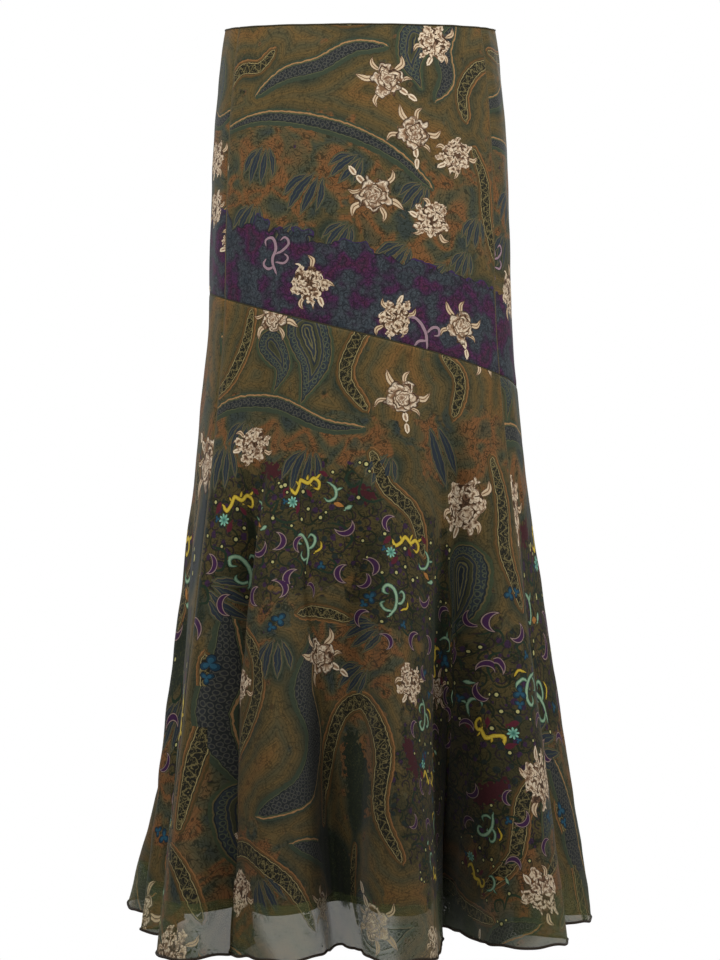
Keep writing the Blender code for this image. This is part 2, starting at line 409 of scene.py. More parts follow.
def cloth_grid(panel, top, bottom, across, rows, clearance, seams, seed):
    """The outer face of a cut piece as a grid of points, and each point's place on the flat piece."""
    shares = np.linspace(0, 1, across + 1)
    columns = columns_of(panel, shares)
    ripple = hem_ripple(panel, shares, seed) if bottom is hem_level else np.zeros(len(shares))
    low, high = bottom(columns) + ripple, top(columns)
    down = np.linspace(0, 1, rows + 1)[:, None]
    levels = high + (low - high) * down
    plan = cloth_plan(np.broadcast_to(columns, (*levels.shape, 5)), levels)
    grid = np.concatenate([plan, levels[..., None]], axis=-1)
    flat = flat_place(panel, np.broadcast_to(shares, levels.shape), levels)
    width = 2 * np.interp(levels, FLAT_LEVELS[::-1], HALF_WIDTHS[panel][::-1])
    from_sides = np.minimum(shares, 1 - shares) * width
    fade = smooth(from_sides / CREASE_FADE)
    lift = drift_heights(flat, seed) * fade
    lift += np.roll(ripple, RIPPLE_SHIFT) * np.exp((low - levels) / RIPPLE_RISE)
    lift -= np.interp(levels, [HEM, 0.0], [clearance[1], clearance[0]])
    for edge, gap in (("top", high - levels), ("bottom", levels - low), ("sides", from_sides)):
        if edge in seams:
            lift -= SEAM_DIP * np.exp(-((gap / SEAM_DIP_REACH) ** 2))
    turn = np.radians(columns[:, 0])
    outward = np.stack([SIDEWAYS * np.sin(turn), -np.cos(turn), np.zeros(len(turn))], axis=-1)
    outward /= np.linalg.norm(outward, axis=-1, keepdims=True)
    folds = crease_heights(panel, flat) * fade
    return grid + lift[..., None] * normals_of(grid) + folds[..., None] * outward, flat


def new_piece(name, points, faces):
    """A mesh object with smooth shading, in the scene."""
    mesh = bpy.data.meshes.new(name)
    mesh.from_pydata(points.reshape(-1, 3).tolist(), [], faces)
    mesh.shade_smooth()
    piece = bpy.data.objects.new(name, mesh)
    bpy.context.scene.collection.objects.link(piece)
    return piece


def shell(name, outer, thickness):
    """A thin closed sheet: its outer face as given, its inner face on every other point, a thickness in.
    Returns the object and, for each corner of each face, the outer grid's point that it lies at."""
    inner = (outer - thickness * normals_of(outer))[::2, ::2]
    out = np.arange(outer.shape[0] * outer.shape[1]).reshape(outer.shape[:2])
    inn = np.arange(inner.shape[0] * inner.shape[1]).reshape(inner.shape[:2]) + out.size
    faces = np.stack([out[:-1, :-1], out[1:, :-1], out[1:, 1:], out[:-1, 1:]], axis=-1).reshape(-1, 4)
    back = np.stack([inn[:-1, :-1], inn[:-1, 1:], inn[1:, 1:], inn[1:, :-1]], axis=-1).reshape(-1, 4)
    rim = np.concatenate([out[:, 0], out[-1, 1:], out[-2::-1, -1], out[0, -2::-1]])
    under = np.concatenate([inn[:, 0], inn[-1, 1:], inn[-2::-1, -1], inn[0, -2::-1]])
    a, b, c, i, j = rim[:-1:2], rim[1::2], rim[2::2], under[:-1], under[1:]
    edge = np.concatenate([np.stack(t, axis=-1) for t in ((a, i, b), (b, i, j), (b, j, c))])
    points = np.concatenate([outer.reshape(-1, 3), inner.reshape(-1, 3)])
    piece = new_piece(name, points, faces.tolist() + back.tolist() + edge.tolist())
    home = np.concatenate([out.ravel(), out[::2, ::2].ravel()])
    corners = np.zeros(len(piece.data.loops), int)
    piece.data.loops.foreach_get("vertex_index", corners)
    return piece, home[corners]


TUBE_SIDES = 8


def tube(name, path, outs, thick, wide, closed):
    """A rolled edge or ridge along a path: its section reaches thick along outs and wide across them."""
    ahead = np.roll(path, -1, axis=0) - np.roll(path, 1, axis=0) if closed else np.gradient(path, axis=0)
    across = np.cross(ahead, outs)
    across /= np.linalg.norm(across, axis=1, keepdims=True)
    turns = np.linspace(0, 2 * np.pi, TUBE_SIDES, endpoint=False)
    points = (
        path[:, None]
        + thick * np.cos(turns)[None, :, None] * outs[:, None]
        + wide * np.sin(turns)[None, :, None] * across[:, None]
    )
    index = np.arange(len(path) * TUBE_SIDES).reshape(len(path), TUBE_SIDES)
    here, beside = index, np.roll(index, -1, axis=1)
    if closed:
        there, beyond = np.roll(here, -1, axis=0), np.roll(beside, -1, axis=0)
    else:
        here, beside, there, beyond = here[:-1], beside[:-1], here[1:], beside[1:]
    faces = np.stack([here, there, beyond, beside], axis=-1).reshape(-1, 4).tolist()
    if not closed:
        faces += [index[0].tolist(), index[-1, ::-1].tolist()]
    piece = new_piece(name, points, faces)
    wound = np.repeat(run_length(path) * 1000.0, TUBE_SIDES) + np.tile(turns, len(path)) / np.pi
    layer = piece.data.attributes.new("wound", "FLOAT", "POINT")
    layer.data.foreach_set("value", wound.astype(np.float32))
    return piece


# ---- the print's layout, in mm on the flat cloth

REPEAT = 700.0  # the print comes again after this width
BACK_SHIFT = 190.0  # the back is cut from another place of it

# Kinds of shape that follow a line. The large ones lie on the ground, the small ones over them.
RIBBON, BEADED, PAISLEY, LEAF, NAVY_PATCH, MAROON_PATCH, DARK_PATCH = range(1, 8)
YELLOW, MINT, TENDRIL, MAUVE, DROP, BUD, CREAM_LEAF, BERRY = range(1, 9)
ROSE, CLUSTER, DAISY, DOT, CRESCENT, BLUE_SPRIG = range(1, 7)  # kinds of round motif

# Large shapes: kind, half width, then the points of the line that they follow.
YOKE_LARGE = (
    (RIBBON, 5.5, (-150, 58), (-128, 42), (-104, 44), (-86, 30)),
    (RIBBON, 6.4, (146, 30), (122, 44), (106, 70), (110, 98)),
    (RIBBON, 6.2, (120, 128), (134, 156), (138, 196), (152, 236)),
    (RIBBON, 5.2, (-44, -4), (-16, 6), (14, 4)),
    (RIBBON, 5.7, (192, 66), (206, 98), (196, 132), (172, 152)),
    (RIBBON, 6.0, (-222, 46), (-204, 74), (-206, 112), (-228, 138)),
    (RIBBON, 5.7, (232, 176), (222, 212), (238, 248)),
    (BEADED, 6.5, (-106, 72), (-74, 56), (-40, 50), (-8, 34), (24, 32)),
    (BEADED, 5.0, (-150, 102), (-104, 96), (-58, 102), (-10, 116), (34, 138), (70, 168)),
    (BEADED, 7.5, (96, 2), (84, 30), (88, 58), (76, 80)),
    (BEADED, 6.5, (160, 12), (184, 26), (212, 20), (236, 30)),
    (BEADED, 5.6, (150, 200), (182, 190), (216, 196), (248, 186)),
    (BEADED, 6.0, (-252, 190), (-226, 178), (-198, 184)),
    (PAISLEY, 15, (54, 22), (50, 46), (60, 70)),
    (PAISLEY, 17, (-180, 36), (-168, 62), (-176, 90)),
    (PAISLEY, 17, (226, 72), (216, 100), (228, 128)),
    (NAVY_PATCH, 7, (-24, 228), (-4, 240)),
    (RIBBON, 6.0, (300, 40), (284, 74), (296, 108), (322, 128)),
    (BEADED, 6.5, (262, 206), (296, 196), (330, 204)),
    (RIBBON, 6.2, (-330, 150), (-306, 176), (-312, 214), (-288, 240)),
    (BEADED, 6.0, (-338, 84), (-304, 70), (-270, 76), (-244, 60)),
    (PAISLEY, 16, (-296, 22), (-286, 46), (-294, 70)),
)

YOKE_SPRAYS = (  # kind, x, y, turn, size
    (ROSE, 26, 66, -20, 1.0),
    (CLUSTER, 74, 24, 20, 0.95),
    (CLUSTER, 98, 134, 60, 0.95),
    (ROSE, 52, 116, 32, 1.0),
    (ROSE, 14, 176, 176, 1.05),
    (CLUSTER, 72, 200, 110, 0.95),
    (CLUSTER, -50, 262, -30, 1.0),
    (CLUSTER, 34, 296, 200, 0.9),
    (ROSE, 102, 300, 24, 0.9),
    (ROSE, 172, 84, 80, 1.0),
    (CLUSTER, 214, 156, 15, 1.0),
    (ROSE, -172, 150, 200, 1.05),
    (CLUSTER, -220, 214, 75, 1.0),
    (ROSE, 186, 244, 20, 1.0),
    (CLUSTER, 244, 288, 120, 1.0),
    (ROSE, 262, 30, 60, 1.0),
    (CLUSTER, 318, 82, -30, 0.95),
    (ROSE, 306, 164, 140, 1.0),
    (CLUSTER, -268, 118, 20, 1.0),
    (ROSE, -316, 252, -40, 1.0),
    (CLUSTER, -262, 176, 200, 0.9),
)

YOKE_FANS = (  # x, y, which way the leaves point, size
    (-100, 128, 112, 1.0),
    (-46, 158, 128, 1.1),
    (-112, 184, 120, 1.0),
    (-4, 140, 142, 0.85),
    (-62, 206, 118, 1.0),
    (-14, 206, 130, 0.8),
    (42, 226, 140, 0.9),
    (60, 166, 132, 0.8),
    (84, 244, 128, 0.8),
    (122, 196, 112, 0.8),
    (108, 230, 118, 0.7),
    (136, 262, 150, 0.8),
    (170, 112, 60, 1.0),
    (196, 176, 70, 1.0),
    (240, 140, 118, 1.0),
    (-232, 116, 64, 1.0),
    (-186, 118, 118, 1.0),
    (-164, 196, 70, 1.0),
    (288, 140, 110, 1.0),
    (330, 170, 60, 1.0),
    (-290, 128, 70, 1.0),
    (-332, 190, 120, 0.9),
)

YOKE_SMALL = (
    (MAUVE, 1.5, (-84, 250), (-88, 238), (-84, 226), (-88, 216), (-96, 218), (-95, 224)),
    (MAUVE, 1.3, (-86, 232), (-77, 229), (-70, 222), (-74, 216), (-79, 219)),
    (MAUVE, 1.3, (-86, 244), (-93, 246), (-98, 241), (-95, 236)),
    (MAUVE, 1.2, (-83, 240), (-75, 241), (-71, 236), (-75, 232)),
    (MAUVE, 1.5, (66, 322), (64, 308), (56, 296), (47, 294), (46, 300)),
    (MAUVE, 1.3, (65, 309), (72, 303), (78, 304), (78, 310), (73, 311)),
    (MAUVE, 1.3, (65, 316), (57, 317), (52, 323)),
    (MAUVE, 1.4, (196, 250), (190, 234), (178, 228), (172, 238), (179, 243)),
    (MAUVE, 1.4, (-190, 246), (-196, 232), (-208, 226), (-214, 236), (-206, 241)),
)

SKIRT_LARGE = (
    (RIBBON, 6.2, (20, 286), (-4, 318), (-14, 352), (6, 384)),
    (RIBBON, 6.7, (12, 426), (24, 458), (52, 484), (64, 520)),
    (RIBBON, 5.5, (-112, 286), (-120, 316), (-142, 348), (-168, 362)),
    (RIBBON, 6.4, (140, 424), (152, 458), (160, 496), (190, 530)),
    (RIBBON, 5.7, (84, 330), (102, 352), (96, 388)),
    (RIBBON, 6.5, (-138, 574), (-130, 602), (-146, 636), (-192, 664)),
    (RIBBON, 7.2, (-94, 764), (-70, 716), (-40, 672), (-8, 664), (8, 704), (2, 760), (20, 806)),
    (RIBBON, 6.4, (-302, 642), (-262, 616), (-226, 594), (-204, 560)),
    (RIBBON, 6.8, (-296, 748), (-250, 732), (-208, 744), (-176, 788), (-166, 842)),
    (RIBBON, 6.0, (-338, 616), (-324, 660), (-340, 712)),
    (RIBBON, 6.8, (258, 566), (268, 614), (260, 656), (284, 706), (274, 758)),
    (RIBBON, 5.0, (-20, 584), (-48, 574), (-82, 570)),
    (RIBBON, 6.2, (184, 818), (222, 794), (262, 788), (304, 762)),
    (RIBBON, 6.0, (322, 596), (330, 640), (318, 690)),
    (RIBBON, 6.6, (-250, 400), (-230, 436), (-236, 480), (-220, 520)),
    (RIBBON, 6.6, (276, 420), (300, 452), (296, 496), (320, 530)),
    (RIBBON, 6.0, (-330, 300), (-300, 330), (-306, 372), (-330, 400)),
    (RIBBON, 6.4, (-40, 800), (-56, 836), (-48, 872)),
    (BEADED, 5.2, (-184, 386), (-134, 372), (-82, 376), (-34, 398), (2, 402)),
    (BEADED, 15.0, (-62, 596), (-92, 638), (-88, 684), (-122, 720), (-176, 724)),
    (BEADED, 11.0, (-172, 536), (-198, 574), (-230, 600), (-250, 648)),
    (BEADED, 10.0, (-156, 762), (-122, 786), (-92, 806), (-76, 842)),
    (BEADED, 9.0, (206, 508), (226, 544), (238, 582)),
    (BEADED, 12.0, (240, 826), (200, 850), (148, 858)),
    (BEADED, 7.0, (214, 320), (194, 360), (212, 396), (240, 404)),
    (BEADED, 6.5, (-236, 300), (-208, 330), (-214, 372)),
    (BEADED, 7.6, (338, 730), (316, 768), (322, 812)),
    (BEADED, 7.6, (-330, 800), (-290, 806), (-250, 836)),
    (BEADED, 7.0, (-340, 440), (-300, 432), (-270, 452)),
    (PAISLEY, 20, (-52, 306), (-44, 338), (-56, 376)),
    (PAISLEY, 13, (-90, 318), (-78, 340), (-88, 362)),
    (PAISLEY, 21, (130, 520), (140, 556), (126, 590)),
    (PAISLEY, 20, (-262, 664), (-282, 694), (-268, 726)),
    (PAISLEY, 18, (-190, 612), (-212, 634), (-214, 664)),
    (PAISLEY, 19, (-30, 858), (-2, 876), (26, 866)),
    (PAISLEY, 19, (304, 618), (292, 646), (300, 676)),
    (PAISLEY, 22, (250, 300), (262, 336), (250, 372)),
    (PAISLEY, 22, (-290, 520), (-302, 552), (-288, 590)),
    (PAISLEY, 20, (160, 790), (128, 812), (120, 848)),
    (LEAF, 5, (70, 402), (78, 424), (92, 452)),
    (DARK_PATCH, 25, (-112, 786), (-84, 812), (-72, 850)),
    (DARK_PATCH, 19, (-30, 700), (-26, 740), (-38, 784)),
    (DARK_PATCH, 16, (92, 560), (100, 590), (92, 622)),
    (DARK_PATCH, 17, (-196, 476), (-206, 508), (-200, 540)),
    (DARK_PATCH, 20, (-330, 584), (-322, 614), (-330, 644)),
    (DARK_PATCH, 24, (120, 846), (180, 834), (240, 816), (286, 796)),
    (DARK_PATCH, 20, (318, 560), (312, 592), (322, 620)),
    (LEAF, 4, (80, 400), (92, 418), (104, 440)),
    (NAVY_PATCH, 11, (-212, 410), (-204, 436), (-220, 460)),
    (MAROON_PATCH, 8, (34, 700), (46, 730)),
    (MAROON_PATCH, 8, (238, 664), (228, 690)),
    (MAROON_PATCH, 7, (-4, 462), (12, 468)),
    (MAROON_PATCH, 7, (-96, 436), (-80, 442)),
)

SKIRT_SPRAYS = (
    (ROSE, -86, 292, 172, 0.9),
    (ROSE, 40, 372, 30, 1.0),
    (ROSE, 126, 320, 205, 0.95),
    (CLUSTER, 116, 466, 12, 1.15),
    (CLUSTER, -112, 412, 80, 0.85),
    (ROSE, -56, 616, -16, 1.05),
    (CLUSTER, 44, 640, 40, 0.95),
    (ROSE, 112, 638, 70, 0.75),
    (CLUSTER, -160, 612, 95, 0.75),
    (CLUSTER, -266, 690, 10, 1.0),
    (CLUSTER, 268, 634, 130, 1.1),
    (CLUSTER, -236, 770, 100, 0.95),
    (ROSE, -140, 832, 20, 0.8),
    (ROSE, -12, 864, 190, 1.1),
    (CLUSTER, 326, 706, 88, 1.0),
    (ROSE, -224, 392, 150, 1.0),
    (CLUSTER, -320, 350, 30, 0.95),
    (ROSE, -300, 470, 60, 1.0),
    (CLUSTER, 176, 296, 66, 0.9),
    (ROSE, 248, 452, 24, 1.0),
    (CLUSTER, 322, 400, 10, 1.0),
    (ROSE, 300, 820, 200, 1.0),
    (CLUSTER, 64, 880, 30, 0.9),
)

SKIRT_FANS = (
    (-52, 424, 116, 1.1),
    (-120, 392, 122, 0.9),
    (-146, 412, 110, 1.0),
    (24, 430, 118, 0.8),
    (6, 590, 160, 0.9),
    (-10, 630, 150, 0.9),
    (176, 400, 70, 1.0),
    (-180, 520, 60, 1.0),
    (-108, 590, 120, 0.9),
    (-200, 776, 100, 1.0),
    (-320, 580, 60, 1.1),
    (240, 506, 110, 1.0),
    (-290, 400, 130, 1.0),
    (340, 460, 100, 1.0),
)

# Groups of small bright motifs: x, y, turn, size, -1 where it is turned over.
GARDENS = (
    (-132, 470, 4, 0.95, 1),
    (-50, 464, -6, 1.0, 1),
    (44, 520, 10, 1.0, 1),
    (112, 612, -80, 0.9, 1),
    (84, 716, 176, 1.0, -1),
    (204, 622, 184, 0.9, 1),
    (96, 806, 184, 0.9, 1),
    (262, 740, 176, 0.85, -1),
    (-262, 470, -8, 1.0, 1),
    (336, 500, 10, 0.95, 1),
)

# One such group, about its middle: the line motifs, then the round ones.
GARDEN_LINES = (
    (YELLOW, 1.8, (-19, -8), (-16, -4), (-10, -9), (-6, -15), (1, -11), (7, -15), (12, -10), (10, -4),
     (6, -6)),
    (YELLOW, 1.2, (-9, -10), (-12, -15)),
    (YELLOW, 1.2, (0, -13), (2, -19)),
    (YELLOW, 1.2, (9, -14), (14, -18)),
    (MINT, 1.5, (22, -8), (27, -2), (26, 6), (19, 9), (15, 5)),
    (MINT, 1.2, (27, 0), (33, -2)),
    (DROP, 2.2, (27, 13), (32, 16)),
    (MINT, 2.0, (34, 18), (39, 16)),
    (MINT, 1.9, (-14, 62), (-9, 54), (-9, 44), (-14, 36), (-21, 35), (-23, 41), (-18, 43)),
    (MINT, 1.5, (-9, 50), (-2, 48), (1, 41), (-3, 37), (-6, 40)),
    (MINT, 1.3, (-11, 58), (-19, 58), (-23, 53), (-20, 50)),
    (YELLOW, 1.1, (0, 54), (6, 51), (6, 45)),
    (TENDRIL, 1.3, (52, -8), (43, -2), (37, -10), (43, -17), (48, -13)),
    (TENDRIL, 1.3, (52, -8), (47, 6), (57, 14), (70, 12)),
    (TENDRIL, 1.2, (-34, 22), (-24, 30), (-30, 42), (-42, 40)),
    (TENDRIL, 1.2, (20, 30), (30, 36), (34, 48), (26, 56)),
    (TENDRIL, 1.1, (-2, 70), (10, 76), (16, 68), (10, 62)),
    (TENDRIL, 1.1, (62, 48), (72, 56), (68, 66), (60, 62)),
    (BERRY, 2.6, (-14, 8), (-18, 14)),
    (BERRY, 2.4, (16, -19), (20, -15)),
    (BERRY, 2.6, (-26, -6), (-22, -12)),
    (BERRY, 2.2, (0, -3), (3, 2)),
)
GARDEN_ROUNDS = (  # kind, x, y, turn, size
    (DAISY, -20, 3, 0, 0.95),
    (CRESCENT, 31, 39, 250, 1.0),
    (CRESCENT, -41, 69, 25, 1.0),
    (CRESCENT, 17, 78, 12, 1.0),
    (CRESCENT, 50, 74, 165, 1.0),
    (CRESCENT, -38, 36, 205, 0.9),
    (CRESCENT, -12, 86, 150, 0.85),
    (CRESCENT, 68, 34, 30, 0.9),
    (BLUE_SPRIG, 43, 104, 80, 1.0),
    (BLUE_SPRIG, 35, 110, 20, 0.75),
    (BLUE_SPRIG, 3, 68, 40, 0.7),
    (BLUE_SPRIG, -27, 1, 10, 0.5),
    (DOT, -28, -13, 0, 1.0),
    (DOT, -5, -4, 0, 1.1),
    (DOT, -2, 13, 0, 1.0),
    (DOT, -12, 21, 0, 1.1),
    (DOT, 9, 23, 0, 1.1),
    (DOT, 15, 19, 0, 0.8),
    (DOT, -40, 12, 0, 0.8),
    (DOT, 46, 9, 0, 1.1),
    (DOT, 58, -22, 0, 1.2),
    (DOT, 52, -24, 0, 0.8),
    (DOT, 60, -15, 0, 0.8),
    (DOT, 44, 50, 0, 0.9),
    (DOT, -20, 70, 0, 0.9),
    (DOT, 26, -18, 0, 0.9),
    (DOT, -26, 24, 0, 0.8),
)

FAN_LEAVES = (  # pointing along +X: kind, half width, line
    (LEAF, 2.7, (3, 6), (14, 11), (27, 12)),
    (LEAF, 3.3, (0, 1), (17, 3), (35, 1)),
    (LEAF, 3.1, (1, -5), (15, -8), (31, -11)),
    (LEAF, 2.2, (-2, -9), (8, -16), (20, -21)),
)

SPRAY_LINES = {  # the buds and leaves round each kind of flower head
    ROSE: (
        (BUD, 2.9, (11, 13), (15, 18)),
        (BUD, 2.6, (17.5, 21), (21.5, 27)),
        (CREAM_LEAF, 2.9, (-12, -7), (-19, -9), (-26, -16)),
        (CREAM_LEAF, 2.3, (-5, -14), (-8, -20), (-6, -26)),
        (CREAM_LEAF, 2.8, (13, -8), (20, -11), (22, -19)),
        (CREAM_LEAF, 2.2, (-12, 9), (-18, 14), (-18, 21)),
        (CREAM_LEAF, 1.8, (14, 4), (20, 3), (24, 6)),
    ),
    CLUSTER: (
        (BUD, 2.6, (2, 19), (1, 26)),
        (CREAM_LEAF, 2.4, (11, -13), (15, -18), (13, -24)),
        (CREAM_LEAF, 2.2, (-12, 9), (-17, 12), (-17, 18)),
        (CREAM_LEAF, 2.2, (13, 8), (18, 10), (20, 15)),
    ),
}

# Where the ground is rusty or is the gardens' dark olive: x, y, half width across and down, in mm.
YOKE_RUST = (
    (-70, 150, 95, 55),
    (60, 200, 70, 55),
    (150, 180, 60, 60),
    (-250, 140, 80, 80),
    (250, 150, 80, 80),
)
SKIRT_RUST = (
    (-60, 412, 100, 32),
    (-150, 396, 50, 34),
    (110, 416, 60, 40),
    (-140, 560, 60, 36),
    (-20, 618, 56, 44),
    (-16, 716, 36, 56),
    (-290, 670, 60, 60),
    (-226, 764, 60, 44),
    (312, 690, 46, 80),
    (250, 430, 70, 80),
    (-290, 380, 70, 60),
)
SKIRT_GARDEN = (
    (-84, 492, 128, 64),
    (50, 540, 70, 62),
    (124, 620, 74, 62),
    (104, 740, 96, 112),
    (216, 640, 92, 96),
    (-262, 500, 66, 60),
    (336, 530, 66, 66),
)

TAPER = {  # large kinds: where on a half wave the shape's width begins, and the power of its taper
    RIBBON: (0.03, 0.32),
    BEADED: (0.0, 0.55),
    PAISLEY: (0.5, 1.25),
    LEAF: (0.02, 0.75),
    NAVY_PATCH: (0.15, 0.45),
    MAROON_PATCH: (0.2, 0.40),
    DARK_PATCH: (0.12, 0.50),
}
SMALL_TAPER = {
    YELLOW: (0.18, 0.30),
    MINT: (0.10, 0.40),
    TENDRIL: (0.05, 0.40),
    MAUVE: (0.10, 0.35),
    DROP: (0.5, 0.80),
    BUD: (0.5, 0.20),
    CREAM_LEAF: (0.22, 0.70),
    BERRY: (0.2, 0.50),
}
HEAD_RADIUS = {ROSE: 18.5, CLUSTER: 23.0, DAISY: 6.5, DOT: 3.1, CRESCENT: 9.6, BLUE_SPRIG: 7.5}
LARGE_REACH, SMALL_REACH, ROUND_REACH = 46.0, 2.4, 2.6  # how far outside its shapes each chart goes
CODE = 64.0  # a chart's third number is this times the kind, plus 1, plus a line shape's half width
FACE_MARGIN = 4  # mm: no corner of a face is further than this from its middle
ONE_SIDED = 3.0  # mm off a line: all of a face's corners count as on one side from here on
PATCH_EDGE, PATCH_FADE = 1.25, 0.6  # where a patch of ground ends and how soft its edge is, in half widths


def placed(points, x, y, turn=0.0, size=1.0, flip=1):
    """Points drawn about their own middle, put at x, y on the cloth."""
    c, s = size * math.cos(math.radians(turn)), size * math.sin(math.radians(turn))
    return np.array(points, float) * [flip, 1] @ np.array([[c, s], [-s, c]]) + [x, y]


def layout(part):
    """The large, small and round shapes of the yoke's or the skirt's stretch of the print."""
    yoke = part == "yoke"
    large = list(YOKE_LARGE if yoke else SKIRT_LARGE)
    small = list(YOKE_SMALL if yoke else ())
    rounds = list(YOKE_SPRAYS if yoke else SKIRT_SPRAYS)
    for x, y, turn, size in YOKE_FANS if yoke else SKIRT_FANS:
        for kind, half, *points in FAN_LEAVES:
            large.append((kind, half * size, *placed(points, x, y, turn, size)))
    for kind, x, y, turn, size in rounds:
        for line_kind, half, *points in SPRAY_LINES[kind]:
            small.append((line_kind, half * size, *placed(points, x, y, turn, size)))
    for x, y, turn, size, flip in () if yoke else GARDENS:
        for kind, half, *points in GARDEN_LINES:
            small.append((kind, half * size, *placed(points, x, y, turn, size, flip)))
        for kind, dx, dy, own_turn, own_size in GARDEN_ROUNDS:
            at = placed([(dx, dy)], x, y, turn, size, flip)[0]
            rounds.append((kind, *at, turn + own_turn, size * own_size))
    return large, small, rounds


# ---- charts: each face's place on its nearest motif


def line_chart(shapes, tapers, points, table, reach):
    """The chart of the line shapes: for the corners of each face, how far along and off the nearest shape's
    line, and its code; also how far outside the nearest shape each point lies."""
    corners = points[table]
    centre = corners.mean(1)
    low, high = centre.min(0) - reach, centre.max(0) + reach
    best = np.full(len(table), reach)
    chart = np.zeros((*table.shape, 3))
    chart[..., 1] = 2 * reach
    gaps = np.full(len(points), reach)
    for kind, half, *along_points in shapes:
        for shift in (-REPEAT, 0.0, REPEAT):
            line = smooth_line(along_points) + [shift, 0.0]
            if (line.max(0) < low).any() or (line.min(0) > high).any():
                continue
            span = reach + half + FACE_MARGIN
            near = np.flatnonzero(((centre > line.min(0) - span) & (centre < line.max(0) + span)).all(1))
            if not len(near):
                continue
            ids, back = np.unique(table[near], return_inverse=True)
            along, off = beside_line(line, points[ids], half)
            start, power = tapers[kind]
            share = start + (1 - start) * np.clip(along / run_length(line)[-1], 0, 1)
            wide = half * np.clip(np.sin(np.pi * share), 0, 1) ** power
            gap = np.abs(off) - wide
            gaps[ids] = np.minimum(gaps[ids], gap)
            values = np.stack([along, off, kind * CODE + 1.0 + wide], axis=-1)[back].reshape(-1, 4, 3)
            mean_gap = gap[back].reshape(-1, 4).mean(1)
            far = np.abs(values[..., 1]).min(1) > ONE_SIDED
            side = np.sign(values[..., 1].sum(1))
            values[far, :, 1] = np.abs(values[far, :, 1]) * side[far, None]
            won = mean_gap < best[near]
            best[near[won]] = mean_gap[won]
            chart[near[won]] = values[won]
    return chart, gaps


def round_chart(shapes, points, table):
    """The chart of the round motifs: for the corners of each face, the place on the nearest one in its own
    mm, and its code."""
    corners = points[table]
    centre = corners.mean(1)
    best = np.full(len(table), ROUND_REACH)
    chart = np.zeros((*table.shape, 3))
    for kind, x, y, turn, size in shapes:
        for shift in (-REPEAT, 0.0, REPEAT):
            middle = np.array([x + shift, y])
            gap = np.linalg.norm(centre - middle, axis=1) - HEAD_RADIUS[kind] * size
            won = np.flatnonzero(gap < best)
            best[won] = gap[won]
            c, s = math.cos(math.radians(turn)) / size, math.sin(math.radians(turn)) / size
            chart[won, :, :2] = (corners[won] - middle) @ np.array([[c, -s], [s, c]])
            chart[won, :, 2] = kind * CODE + 1.0
    return chart


def patch_share(patches, points):
    """How much each point is inside the patches, 0 to 1, fading over their edges."""
    share = np.zeros(len(points))
    for x, y, across, down in patches:
        for shift in (-REPEAT, 0.0, REPEAT):
            away = np.hypot((points[:, 0] - x - shift) / across, (points[:, 1] - y) / down)
            share = np.maximum(share, smooth((PATCH_EDGE - away) / PATCH_FADE))
    return share


# ---- materials

# The print is laid out in mm, so at a scale of 1 / 30 a texture's pattern is 30 mm wide.
USUAL_SETTINGS = {"Mix": {"data_type": "RGBA"}, "TexVoronoi": {"voronoi_dimensions": "2D"}}


def linear(hex_colour):
    """An sRGB hex colour as linear RGBA."""
    parts = [int(hex_colour[i : i + 2], 16) / 255 for i in (1, 3, 5)]
    return (*[p / 12.92 if p <= 0.04045 else ((p + 0.055) / 1.055) ** 2.4 for p in parts], 1.0)


def new_material(name):
    material = bpy.data.materials.new(name)
    material.use_nodes = True
    material.node_tree.nodes.clear()
    return material


def add(tree, kind, *values, out=None, named=None, **settings):
    """Adds a node to a tree with its settings, and sets its sockets, in their order or by name, to values
    or to other nodes' outputs. A maths node's kind ends with its operation. Returns the output named, or
    else its first."""
    kind, *operation = kind.split()
    node = tree.nodes.new("ShaderNode" + kind)
    settings |= USUAL_SETTINGS.get(kind, {}) | ({"operation": operation[0]} if operation else {})
    for key, value in settings.items():
        setattr(node, key, value)
    sockets = [socket for socket in node.inputs if socket.enabled]
    for socket, value in [*zip(sockets, values), *((node.inputs[k], v) for k, v in (named or {}).items())]:
        if isinstance(value, bpy.types.NodeSocket):
            tree.links.new(value, socket)
        else:
            socket.default_value = value
    outputs = [socket for socket in node.outputs if socket.enabled]
    return node.outputs[out] if out else outputs[0] if outputs else None


def inks(colour, stops, stepped=False):
    """Fills the ramp that a colour comes from with (place, hex colour or None where nothing is printed).
    Returns the colour and how much of it is printed."""
    ramp = colour.node.color_ramp
    if stepped:
        ramp.interpolation = "CONSTANT"
    while len(ramp.elements) < len(stops):
        ramp.elements.new(1.0)
    for element, (place, hex_colour) in zip(ramp.elements, stops):
        element.position = place
        element.color = linear(hex_colour) if hex_colour else (0.0, 0.0, 0.0, 0.0)
    return colour.node.outputs


def read_chart(tree, name, wobble):
    """A line chart's numbers: its code, along and off the line, and how far in from the shape's edge."""
    chart = add(tree, "Attribute", attribute_name=name, out="Vector")
    along, off, code = add(tree, "SeparateXYZ", chart).node.outputs
    swayed = add(tree, "Math ADD", off, wobble)
    away = add(tree, "Math ABSOLUTE", swayed)
    width = add(tree, "Math SUBTRACT", add(tree, "Math MODULO", code, CODE), 1.0)
    inside = add(tree, "Math SUBTRACT", width, away)
    return {"code": code, "along": along, "off": swayed, "away": away, "inside": inside}


def is_kind(tree, code, kind):
    """1 where a chart's code is of this kind, else 0."""
    return add(tree, "Math COMPARE", code, (kind + 0.5) * CODE, CODE / 2 - 0.5)


